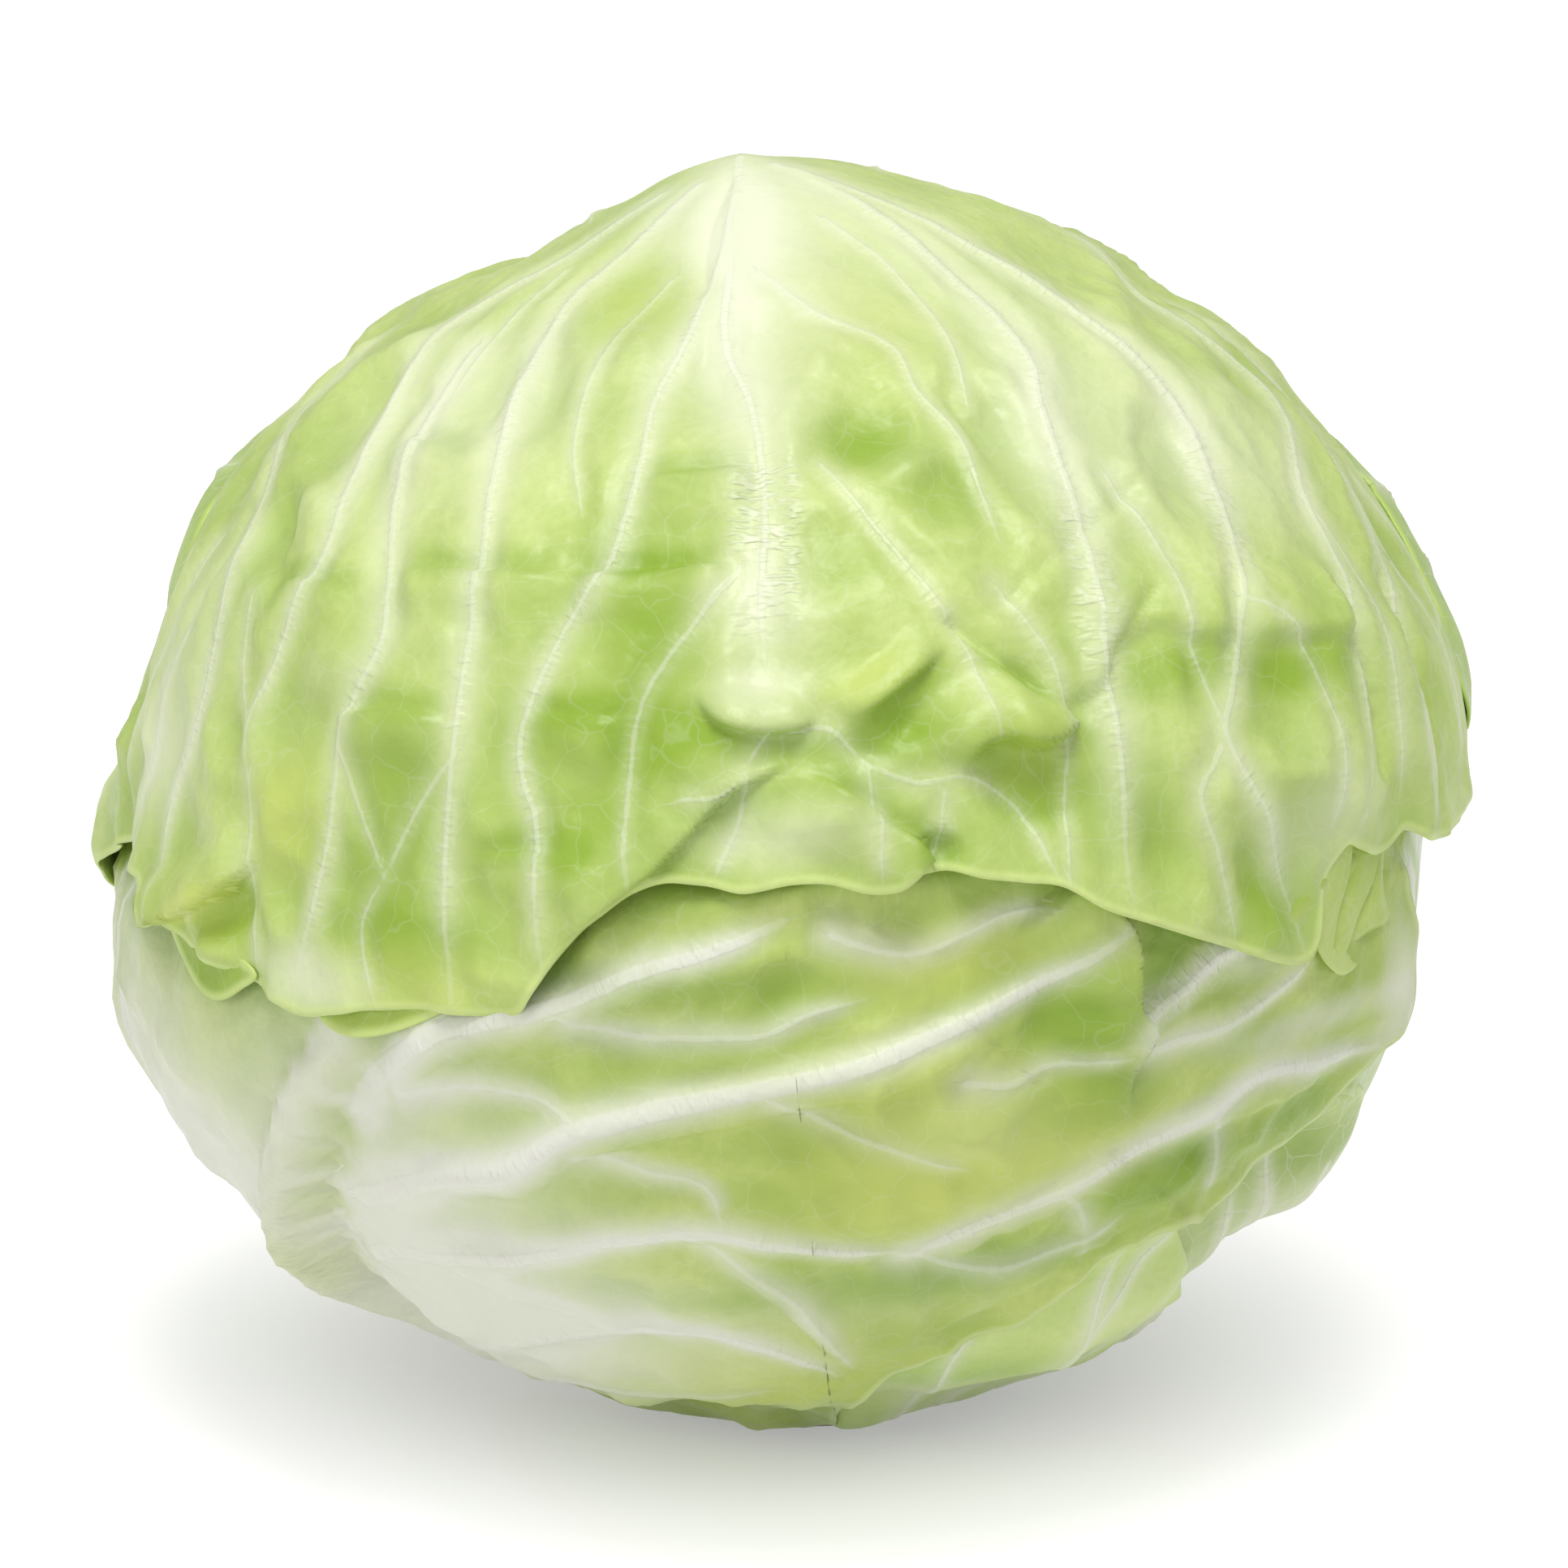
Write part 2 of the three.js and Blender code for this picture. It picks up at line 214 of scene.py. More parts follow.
def bundle_ring_tree(finish):
    """Geometry nodes: small flat beads, scattered in a ring, for the vascular bundles of the cut."""
    tree = bpy.data.node_groups.new("stem_bundle_ring", "GeometryNodeTree")
    for name, kind, value in (
        ("Ring Radius", "NodeSocketFloat", 11.4 * MM),
        ("Bundle Radius", "NodeSocketFloat", 0.75 * MM),
        ("Count", "NodeSocketInt", 46),
        ("Seed", "NodeSocketInt", 5),
    ):
        socket = tree.interface.new_socket(name, in_out="INPUT", socket_type=kind)
        socket.default_value = value
    tree.interface.new_socket("Geometry", in_out="OUTPUT", socket_type="NodeSocketGeometry")
    given = add_node(tree, "NodeGroupInput").outputs
    ring = add_node(
        tree, "GeometryNodeMeshCircle", {"Vertices": given["Count"], "Radius": given["Ring Radius"]}
    )
    scatter = add_node(
        tree, "FunctionNodeRandomValue",
        {0: (-1.3 * MM, -1.3 * MM, 0.0), 1: (1.3 * MM, 1.3 * MM, 0.0), 8: given["Seed"]},
        data_type="FLOAT_VECTOR",
    )
    spread = add_node(
        tree, "GeometryNodeSetPosition",
        {"Geometry": ring.outputs["Mesh"], "Offset": scatter.outputs[0]},
    )
    bead = add_node(
        tree, "GeometryNodeMeshUVSphere",
        {"Segments": 12, "Rings": 6, "Radius": given["Bundle Radius"]},
    )
    size = add_node(
        tree, "FunctionNodeRandomValue",
        {0: (0.6, 0.5, 0.18), 1: (1.2, 0.9, 0.26), 8: given["Seed"]}, data_type="FLOAT_VECTOR",
    )
    turn = add_node(
        tree, "FunctionNodeRandomValue",
        {0: (0.0, 0.0, 0.0), 1: (0.0, 0.0, 6.28), 8: given["Seed"]}, data_type="FLOAT_VECTOR",
    )
    placed = add_node(
        tree, "GeometryNodeInstanceOnPoints",
        {
            "Points": spread.outputs[0], "Instance": bead.outputs["Mesh"],
            "Rotation": turn.outputs[0], "Scale": size.outputs[0],
        },
    )
    real = add_node(tree, "GeometryNodeRealizeInstances", {0: placed.outputs[0]})
    lifted = add_node(
        tree, "GeometryNodeTransform",
        {"Geometry": real.outputs[0], "Translation": (0.0, 0.0, (CUT_RECESS + 0.02) * MM)},
    )
    coated = add_node(tree, "GeometryNodeSetMaterial", {"Geometry": lifted.outputs[0]})
    coated.inputs["Material"].default_value = finish
    add_node(tree, "NodeGroupOutput", {0: coated.outputs[0]})
    return tree


def piece_from_tree(name, tree, values):
    """Runs a node tree on an empty mesh and keeps the result as a plain mesh at the origin."""
    holder = bpy.data.objects.new(name, bpy.data.meshes.new(name + "_start"))
    bpy.context.scene.collection.objects.link(holder)
    modifier = holder.modifiers.new("grow", "NODES")
    modifier.node_group = tree
    for socket in tree.interface.items_tree:
        if socket.in_out == "INPUT" and socket.name in values:
            modifier[socket.identifier] = values[socket.name]
    grown = holder.evaluated_get(bpy.context.evaluated_depsgraph_get())
    mesh = bpy.data.meshes.new_from_object(grown)
    holder.modifiers.remove(modifier)
    holder.data = mesh
    mesh.shade_smooth()
    return holder


stalk_finish = stalk_material()
stalk = stalk_mesh(stalk_finish)
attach(stalk, "root")
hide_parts("stem")

bundles = piece_from_tree("stem_bundles", bundle_ring_tree(stalk_finish), {"Count": 46, "Seed": 5})
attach(bundles, "root")


# ---------------------------------------------------------------------------------------------
# Heart: the young leaves inside, packed so tight that they are one mass. Their edges wind up
# over it like a bud's. The core stands in a pocket in its underside.
# ---------------------------------------------------------------------------------------------

FORM_CENTRE = np.array([-4, 0, 94.5])
FORM_LEAN = np.radians(-4)
FORM_STEP = 20
FORM_RADII = {
    "front": (93, 89.5, 91, 96, 99.5, 101, 99.5, 98.5, 98, 95),
    "right": (93, 91, 91, 94.5, 100, 99, 101.5, 98.5, 98, 95),
    "back": (93, 88.5, 90, 94, 97.5, 98.5, 97.5, 96, 94.5, 95),
    "left": (93, 87, 89.5, 94, 96.5, 103.5, 101.5, 95.5, 95.5, 95),
}
FORM_DENTS = (  # place, how wide and how high in millimetres, depth; below 0 it is a bulge
    ((-52, 131), 18, 11, 4.0), ((-52, 142), 18, 12, 0.6), ((-18, 152), 36, 15, 3.8),
    ((-32, 156), 20, 14, 4.4), ((28, 154), 26, 12, 2.4), ((42, 125), 13, 8, 3.0),
    ((57, 120), 9, 7, 3.0), ((52, 123), 18, 12, 1.8), ((-8, 146), 16, 8, 1.2),
    ((74, 136), 22, 14, 3.0), ((65, 103), 16, 18, -2.6), ((-84, 110), 16, 12, -1.8),
    ((-82, 88), 14, 9, 2.6), ((92, 72), 26, 16, 1.0), ((-94, 70), 30, 22, 0.9),
    ((92, 41), 20, 9, 1.6), ((-104, 46), 18, 9, 1.4),
)
TIP_HEIGHT = 1.9  # how far the pointed tip stands out of the form
TIP_SPREAD = 5  # how far down the tip's cone reaches, in degrees
REST_CLEARANCE = 0.6  # the leaves stay this far above the floor
PRESSED_HEIGHT = 4  # below this height they are flattened
MEAN_RADIUS = 96  # distances along a leaf are measured on a ball of this radius
HEART_DEPTH = 8.2  # how far under the form it lies
STEM_GAP = 0.5  # clearance of the heart round the core


def side_radius(radii, polar):
    """The form's radius down one side: a smooth curve through its values."""
    ends = np.array([radii[1], *radii, radii[-2]], float)
    spot = np.clip(polar / FORM_STEP, 0, len(radii) - 1.000001)
    i = np.floor(spot).astype(int)
    t = spot - i
    before, here, after, last = ends[i], ends[i + 1], ends[i + 2], ends[i + 3]
    bend = 2 * before - 5 * here + 4 * after - last
    return here + 0.5 * t * (after - before + t * (bend + t * (3 * (here - after) + last - before)))


def directions(places):
    """Unit directions from the form's centre to places given as (azimuth, polar)."""
    azimuth, polar = np.radians(np.asarray(places, float).reshape(-1, 2)).T
    flat = np.sin(polar)
    return np.stack([flat * np.sin(azimuth), -flat * np.cos(azimuth), np.cos(polar)], 1)


def unit(vectors):
    return vectors / np.linalg.norm(vectors, axis=-1, keepdims=True)


def spot(towards, place, across, along, turn=0.0):
    """A soft round-topped weight about a place: 1 there, 0 well past its size each way."""
    middle = directions([place])[0]
    east = unit(np.cross((0, 0, 1.0), middle))
    south = np.cross(east, middle)
    c, s = np.cos(np.radians(turn)), np.sin(np.radians(turn))
    away = (towards - middle) * MEAN_RADIUS
    u = away @ (c * east + s * south) / across
    v = away @ (c * south - s * east) / along
    return np.clip(1 - (u * u + v * v) / 2, 0, 1) ** 2 * (towards @ middle > 0)


def head_points(towards, height):
    """Points of the head form in the given directions, moved out by a height above it."""
    azimuth = np.arctan2(towards[:, 0], -towards[:, 1])
    polar = np.degrees(np.arccos(np.clip(towards[:, 2], -1, 1)))
    front, right, back, left = (side_radius(FORM_RADII[side], polar) for side in FORM_RADII)
    radius = (front + right + back + left) / 4 + TIP_HEIGHT * np.exp(-polar / TIP_SPREAD)
    radius += (front - back) / 2 * np.cos(azimuth) + (right - left) / 2 * np.sin(azimuth)
    radius += (front + back - right - left) / 4 * np.cos(2 * azimuth)
    for place, across, along, depth in FORM_DENTS:
        radius -= depth * spot(towards, place, across, along)
    p = towards * (radius + height)[:, None]
    c, s = np.cos(FORM_LEAN), np.sin(FORM_LEAN)
    p = np.stack([p[:, 0] * c + p[:, 2] * s, p[:, 1], p[:, 2] * c - p[:, 0] * s], 1) + FORM_CENTRE
    room = PRESSED_HEIGHT - REST_CLEARANCE
    squeezed = REST_CLEARANCE + room * np.exp(np.minimum(p[:, 2] - PRESSED_HEIGHT, 0) / room)
    p[:, 2] = np.where(p[:, 2] < PRESSED_HEIGHT, squeezed, p[:, 2])
    return p


def smooth_path(corners, closed=False, step=0.4):
    """A centripetal Catmull-Rom curve on the ball through directions, with a point every step."""
    n = len(corners)
    if closed:
        p = corners[np.arange(-1, n + 2) % n]
    else:
        p = np.vstack([2 * corners[0] - corners[1], corners, 2 * corners[-1] - corners[-2]])
    gaps = np.sqrt(np.maximum(np.linalg.norm(np.diff(p, axis=0), axis=1), 1e-5))[:, None]
    t = np.linspace(0, 1, 24, endpoint=False)[:, None, None]
    a, b, c = gaps[:-2], gaps[1:-1], gaps[2:]
    p0, p1, p2, p3 = p[:-3], p[1:-2], p[2:-1], p[3:]
    start = b * ((p1 - p0) / a - (p2 - p0) / (a + b) + (p2 - p1) / b)
    finish = b * ((p2 - p1) / b - (p3 - p1) / (b + c) + (p3 - p2) / c)
    curve = (
        (2 * t**3 - 3 * t**2 + 1) * p1 + (t**3 - 2 * t**2 + t) * start
        + (-2 * t**3 + 3 * t**2) * p2 + (t**3 - t**2) * finish
    )
    curve = unit(curve.transpose(1, 0, 2).reshape(-1, 3))
    curve = np.vstack([curve, curve[:1] if closed else corners[-1:]])
    length = np.concatenate([[0], np.cumsum(np.linalg.norm(np.diff(curve, axis=0), axis=1))])
    count = max(3, int(length[-1] * MEAN_RADIUS / step))
    spots = np.linspace(0, length[-1], count + 1)
    if closed:
        spots = spots[:-1]
    return unit(np.stack([np.interp(spots, length, curve[:, k]) for k in range(3)], 1))


def ease(value, low, high):
    """0 at low, 1 at high, with soft ends."""
    t = np.clip((value - low) / (high - low), 0, 1)
    return t * t * (3 - 2 * t)


def follow(towards, path, reach=None):
    """Where directions lie by a path on the ball, as (index, side, gap, share, run).
    The side is in millimetres, above 0 on the right hand of someone walking the path. The gap is
    the distance to the path, the share is 0 to 1 along it and the run is millimetres along it."""
    corners = path if isinstance(path, np.ndarray) else directions(path)
    line = smooth_path(corners)
    ahead = unit(np.gradient(line, axis=0))
    along = np.concatenate([[0], np.cumsum(np.linalg.norm(np.diff(line, axis=0), axis=1))])
    centre = unit(line.mean(0))
    if reach is None:
        index = np.arange(len(towards))
    else:
        widest = np.arccos(np.clip((line @ centre).min(), -1, 1)) + reach / MEAN_RADIUS
        index = np.nonzero(towards @ centre > np.cos(min(widest, np.pi)))[0]
    side, gap, run = (np.empty(len(index)) for _ in range(3))
    for chunk in np.array_split(np.arange(len(index)), max(1, len(index) // 20000)):
        here = towards[index[chunk]]
        near = np.argmax(here @ line.T, axis=1)
        away = here - line[near]
        side[chunk] = (away * np.cross(ahead[near], line[near])).sum(1) * MEAN_RADIUS
        past = (away * ahead[near]).sum(1) * MEAN_RADIUS
        gap[chunk] = np.hypot(side[chunk], past)
        run[chunk] = along[near] * MEAN_RADIUS + past
    length = along[-1] * MEAN_RADIUS
    share = np.clip(run / length, 0, 1)
    if reach is not None:
        close = gap < reach
        index, side, gap, share, run = (v[close] for v in (index, side, gap, share, run))
    return index, side, gap, share, run


def waves(towards, length, seed, count=30):
    """Smooth random swell over the ball, about -1 to 1, with a typical wavelength in mm."""
    random = np.random.default_rng(seed)
    headings = unit(random.normal(size=(count, 3)))
    pitch = 2 * np.pi / (length * random.uniform(0.7, 1.4, count))
    phase = random.uniform(0, 2 * np.pi, count)
    total = np.cos(towards @ (headings * pitch[:, None]).T * MEAN_RADIUS + phase).sum(1)
    return total / np.sqrt(count)


def heart_mesh(finish):
    """Rings from the tip down the outside, then up inside the pocket for the core."""
    columns = 192
    around = np.degrees(np.linspace(0, 2 * np.pi, columns, endpoint=False))
    polars = np.linspace(2, 169, 130)
    grid = np.stack(np.meshgrid(around, polars), -1).reshape(-1, 2)
    towards = directions(grid)
    relief = 0.9 * waves(towards, 40, 31) + 0.35 * waves(towards, 14, 32)
    for start in range(0, 360, 72):
        edge = [(start + 2.1 * (150 - p), p) for p in (150, 125, 100, 75, 50, 28, 12)]
        index, side, gap, share, run = follow(towards, edge, 14)
        lap = ease(side, -0.9, 0.9) * (1 - ease(side, 2, 13)) * np.sin(np.pi * share) ** 0.5
        relief[index] += 1.4 * lap
    for start in range(10, 360, 36):
        index, side, gap, share, run = follow(
            towards, [(start, 160), (start + 12, 120), (start + 40, 80), (start + 80, 40)], 4
        )
        relief[index] += 0.5 * (1 - gap / 4) ** 2
    outside = head_points(towards, relief - HEART_DEPTH - 0.8)
    lowest = outside[-columns:, 2]
    angle = np.radians(around)
    pocket = [
        (STUMP_RADIUS + STEM_GAP + 0.6, 6.0), (STUMP_RADIUS + STEM_GAP, STUMP_TOP),
        (15.8, 12), (14.8, 15), (13.6, 20), (11.9, 34), (9.2, 54), (7.0, 70), (5.2, 76), (2.6, 79),
    ]
    inside = [
        np.stack([r * np.sin(angle), -r * np.cos(angle), np.maximum(np.full(columns, z), 0)], 1)
        for r, z in pocket
    ]
    inside[0][:, 2] = np.maximum(inside[0][:, 2], lowest + 0.4)
    inside[1][:, 2] = np.maximum(inside[1][:, 2], inside[0][:, 2] + 0.4)
    top = head_points(directions([(0, 0.01)]), np.array([-HEART_DEPTH]))
    points = np.vstack([top, outside, *inside, [[0, 0, 80.5]]])
    counts = [1] + [columns] * (len(polars) + len(pocket)) + [1]
    starts = np.concatenate([[0], np.cumsum(counts)[:-1]]).tolist()
    return plain_mesh("heart_leaves", points, ring_faces(starts, counts), finish)


def heart_material():
    """Blanched inner leaves: never in daylight, so they are cream with hardly any green."""
    material = new_material("blanched_leaf")
    tree = material.node_tree
    place = add_node(tree, "ShaderNodeTexCoord").outputs["Object"]
    in_mm = add_node(tree, "ShaderNodeMapping", {"Vector": place, "Scale": [1 / MM] * 3}).outputs[0]
    cloud = add_node(tree, "ShaderNodeTexNoise", {"Vector": in_mm, "Scale": 1 / 18, "Detail": 3.0})
    net = add_node(
        tree, "ShaderNodeTexVoronoi", {"Vector": in_mm, "Scale": 1 / 6}, feature="DISTANCE_TO_EDGE"
    )
    lines = add_node(
        tree, "ShaderNodeMapRange", {0: net.outputs["Distance"], 1: 0.0, 2: 0.06, 3: 0.5, 4: 0.0}
    )
    flesh = add_node(
        tree, "ShaderNodeMix",
        {0: cloud.outputs["Fac"], 6: linear("#e4ebbb"), 7: linear("#cddc94")}, data_type="RGBA",
    )
    veined = add_node(
        tree, "ShaderNodeMix",
        {0: lines.outputs[0], 6: flesh.outputs[2], 7: linear("#eef2d8")}, data_type="RGBA",
    )
    bump = add_node(
        tree, "ShaderNodeBump", {"Height": lines.outputs[0], "Distance": 0.2 * MM, "Strength": 0.8}
    )
    shader = add_node(
        tree, "ShaderNodeBsdfPrincipled",
        {
            "Base Color": veined.outputs[2], "Roughness": 0.45, "IOR": 1.42,
            "Subsurface Weight": 0.15, "Subsurface Radius": (1.0, 0.9, 0.4),
            "Subsurface Scale": 2 * MM, "Normal": bump.outputs[0],
        },
    )
    add_node(tree, "ShaderNodeOutputMaterial", {"Surface": shader.outputs[0]})
    return material


heart = heart_mesh(heart_material())
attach(heart, "root")
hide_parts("heart")


# ---------------------------------------------------------------------------------------------
# Lower right leaf: the deepest of the wrapper leaves that shows, a pale green blade that comes
# up from the stem behind the others, with a wavy edge.
# ---------------------------------------------------------------------------------------------

BLADE_THICKNESS = 1.15
MARGIN_THICKNESS = 0.55  # at the free edge


class Blade:
    """One leaf as it lies on the head: a lattice of directions for its outer and inner face, and
    at each point how high it rises above the leaf's depth, how far it slips sideways, and what
    its colour needs: the nearest vein, and how deep, pale or golden the green is there. Painted
    shade goes into the deep green, in hollows, dents, folds and under other leaves, and painted
    light into the pale green on bulges."""

    def __init__(self, middle, outline, depth, rows, columns, towards_front=0.0, room=4.0):
        self.depth = depth
        self.room = room
        self.columns = columns
        self.middle = directions([middle])[0]
        self.loop = smooth_path(directions(outline), closed=True, step=0.4)
        if np.cross(self.loop, np.roll(self.loop, -1, 0)).sum(0) @ self.middle < 0:
            self.loop = self.loop[::-1]
        rim = self.spread_columns(columns, towards_front)
        reach = np.arccos(np.clip(rim @ self.middle, -1, 1))
        self.points, self.starts, self.counts = [], [], []
        outer_rows = np.linspace(0, 1, rows + 1)
        inner_rows = np.concatenate([[1, 1 - 1.5 / rows], np.arange(rows - 4, 0, -3) / rows, [0]])
        for share in outer_rows:
            self.add_ring(rim, reach, share, self.columns_at(share, columns))
        self.outer_count = sum(self.counts)
        self.add_ring(rim, reach, 1.0, columns)
        for share in inner_rows:
            here = self.columns_at(share, columns)
            self.add_ring(rim, reach, share, here if share == 1 or share == 0 else here // 2)
        self.towards = np.vstack(self.points)
        self.edge = self.edge_distance()
        n = len(self.towards)
        self.is_outer = np.arange(n) < self.outer_count
        self.edge_ring = slice(self.outer_count, self.outer_count + columns)
        self.rise = np.zeros(n)
        self.slack = 0.25 + 0.75 * ease(np.degrees(np.arccos(self.towards[:, 2])), 12, 38)
        self.slip = np.zeros((n, 3))
        self.veins = [np.tile([9.0, 0.0, 0.3], (n, 1)) for _ in range(2)]
        self.pucker = np.zeros((n, 3))
        self.pucker_gap = np.full(n, 9.0)
        self.flesh = np.zeros((n, 3))

    def spread_columns(self, columns, towards_front):
        """Places round the edge, closer together where the leaf faces the front."""
        across = unit(np.cross(self.middle, (0.3, 0.2, 1.0)))
        up = np.cross(self.middle, across)
        bearing = np.unwrap(np.arctan2(self.loop @ up, self.loop @ across))
        step = np.linalg.norm(np.diff(self.loop, axis=0, append=self.loop[:1]), axis=1)
        whole_turn = np.sign(bearing[-1] - bearing[0]) * 2 * np.pi
        turn = np.abs(np.diff(bearing, append=bearing[0] + whole_turn))
        facing = np.clip(0.35 - self.loop[:, 1], 0, 1)
        measure = np.cumsum((step + 0.6 * turn) * (1 + towards_front * facing))
        spots = np.linspace(0, measure[-1], columns, endpoint=False)
        n = np.arange(len(self.loop) + 1)
        ring = np.vstack([self.loop, self.loop[:1]])
        where = np.interp(spots, np.concatenate([[0], measure]), n)
        rim = unit(np.stack([np.interp(where, n, ring[:, k]) for k in range(3)], 1))
        # Seen from the middle, the edge never turns back, so that the lattice can't fold.
        bearing = np.unwrap(np.arctan2(rim @ up, rim @ across))
        sense = np.sign(bearing[-1] - bearing[0])
        even = bearing[0] + sense * 2 * np.pi * np.arange(columns) / columns
        extra = sense * np.maximum.accumulate(sense * bearing) - even
        for _ in range(6):
            extra = (np.roll(extra, 1) + 2 * extra + np.roll(extra, -1)) / 4
        near = rim @ self.middle
        heading = np.cos(even + extra)[:, None] * across + np.sin(even + extra)[:, None] * up
        return near[:, None] * self.middle + np.sqrt(1 - near**2)[:, None] * heading

    @staticmethod
    def columns_at(share, columns):
        """Fewer columns near the middle, where they crowd."""
        if share == 0:
            return 1
        return columns // (8 if share < 0.06 else 4 if share < 0.14 else 2 if share < 0.28 else 1)

    def add_ring(self, rim, reach, share, count):
        rim = rim[:: len(rim) // count] if count > 1 else rim[:1]
        reach = reach[:: len(reach) // count] if count > 1 else reach[:1]
        inwards, outwards = np.sin((1 - share) * reach), np.sin(share * reach)
        ring = inwards[:, None] * self.middle + outwards[:, None] * rim
        self.starts.append(sum(self.counts))
        self.counts.append(count)
        self.points.append(unit(ring))

    def edge_distance(self):
        distance = np.empty(len(self.towards))
        for chunk in np.array_split(np.arange(len(distance)), len(distance) // 4000 + 1):
            closest = (self.towards[chunk] @ self.loop.T).max(1)
            distance[chunk] = np.arccos(np.clip(closest, -1, 1)) * MEAN_RADIUS
        return distance

    def swell(self, place, across, along, rise, turn=0.0):
        """A bulge, or a dent where the rise is below 0. A dent gets painted shade as deeper green, and a
        bulge painted light as paler green.
        """
        weight = spot(self.towards, place, across, along, turn)
        self.rise += rise * weight
        # Painted shade in the dent, painted light on the bulge.
        self.flesh[:, 0] += 0.12 * max(-rise, 0) * weight
        self.flesh[:, 1] += 0.08 * max(rise, 0) * weight

    def tint(self, place, across, along, deep_and_shade=0.0, pale=0.0, gold=0.0, turn=0.0):
        """A patch of deeper, paler or more golden green. Some patches are the leaf's own colour, and some
        paint shade or light.
        """
        weight = spot(self.towards, place, across, along, turn)
        self.flesh[:, 1] *= np.clip(1 - 0.6 * (deep_and_shade + gold) * weight, 0, 1)
        self.flesh += weight[:, None] * np.array([deep_and_shade, pale, gold])

    def crease(self, path, depth, left, right, ends=0.15):
        """A groove along a path, with its own width on each hand."""
        index, side, gap, share, run = follow(self.towards, path, max(left, right))
        width = np.where(side > 0, right, left)
        fade = ease(share, 0, ends) * ease(1 - share, 0, ends)
        self.rise[index] -= depth * fade * np.clip(1 - gap / width, 0, 1) ** 2

    def step(self, path, rise, reach, overhang=0.0, ramp=0.7, ends=(0.2, 0.2), shade=0.0):
        """A fold: the right hand side of the path stands up, and may hang over the other side,
        where painted shade, as deeper green, lies along its foot."""
        index, side, gap, share, run = follow(self.towards, path, reach)
        fade = ease(share, -1e-6, ends[0]) * ease(1 - share, -1e-6, ends[1])
        past_end = np.clip(gap - np.abs(side), 0, None)
        lift = ease(side, -ramp, ramp) * (1 - ease(side, 0.25 * reach, reach)) * fade
        lift *= 1 - ease(past_end, 0, 3)
        self.rise[index] += rise * lift
        # Painted shade along the foot of the fold, under its lip.
        foot = (1 - ease(np.abs(side + 1.2), 0.6, 4.0)) * fade * (1 - ease(past_end, 0, 3))
        self.flesh[index, 0] += shade * foot
        line = smooth_path(directions(path))
        ahead = unit(np.gradient(line, axis=0))
        near = np.argmax(self.towards[index] @ line.T, axis=1)
        outwards = -np.cross(ahead[near], line[near])
        lean = overhang * fade * ease(side, -ramp, ramp) * (1 - ease(side, ramp, 4.0))
        self.slip[index] += outwards * lean[:, None]

    def ripple(self, length, rise, seed):
        """Random unevenness of a typical wavelength, with painted shade as deeper green in its
        hollows. It is less where the leaf is drawn tight over the tip."""
        wave = waves(self.towards, length, seed) * self.slack
        self.rise += rise * wave
        # Painted shade in the hollows.
        self.flesh[:, 0] += 0.16 * min(rise, 1) * np.clip(-wave, 0, 2)

    def crumple(self, length, rise, seed):
        """Soft facets that meet in ridges, where the panels between the veins have buckled. Their low
        parts get painted shade as deeper green.
        """
        panel = ease(np.minimum(np.abs(self.veins[0][:, 0]), np.abs(self.veins[1][:, 0])), 0.5, 5)
        fold = np.sqrt(waves(self.towards, length, seed) ** 2 + 0.03)
        self.rise += rise * (0.75 - fold) * panel * self.slack
        # Painted shade on the low parts of the facets.
        self.flesh[:, 0] += 0.15 * rise * (fold - 0.5) * panel * self.slack

    def ruffle(self, zone, rise, length, seed):
        """Waves in the free edge that die out inwards."""
        inwards = np.clip(1 - self.edge / zone, 0, 1) ** 2
        self.rise += rise * inwards * waves(self.towards, length, seed)

    def lift_edge(self, place, across, zone, rise):
        """Raises the free edge about a place."""
        inwards = np.clip(1 - self.edge / zone, 0, 1) ** 1.5
        self.rise += rise * inwards * spot(self.towards, place, across, across)

    def vein(
        self, path, half=(0.5, 0.3), rise=0.3, tent=0.8, spread=6.0, halo=3.0, pale=0.55, line=0.5,
        layer=0, pucker=0.3,
    ):
        """A vein: a narrow cord on a broad ridge, paler towards its middle."""
        index, side, gap, share, run = follow(self.towards, path, max(spread, 5.5, 2 * halo))
        width = half[0] + (half[1] - half[0]) * share
        fade = ease(1 - share, -0.02, 0.12) * 0.9 + 0.1
        cord = np.clip(1 - (gap / (1.5 * width + 0.5)) ** 2, 0, 1)
        self.rise[index] += rise * cord * fade * self.is_outer[index]
        crest = np.clip(1 - (np.hypot(gap, 0.7) - 0.7) / spread, 0, 1) ** 1.6
        self.rise[index] += tent * crest * fade * (1 - 0.4 * share) * ease(run, 0, 30)
        field = self.veins[layer]
        other = np.abs(field[index, 0])
        apart = np.maximum(ease(np.abs(gap - other), 0.9, 2.0), 1 - ease(gap, 0.3, 0.8))
        near = line * (1 - ease(gap, 1.2 + width, 2.2 + width)) * (0.3 + 0.7 * fade) * apart
        closer = gap < other
        chosen = index[closer]
        field[chosen, 0] = (np.sign(side) * gap)[closer]
        field[chosen, 1] = near[closer]
        field[chosen, 2] = width[closer]
        field[index[~closer], 1] *= apart[~closer]
        glow = pale * fade * np.exp(-((gap / (halo * (1 - 0.5 * share))) ** 2))
        self.flesh[index, 1] = np.maximum(self.flesh[index, 1], glow)
        if pucker:
            self.wrinkle(path, pucker, 2.0)

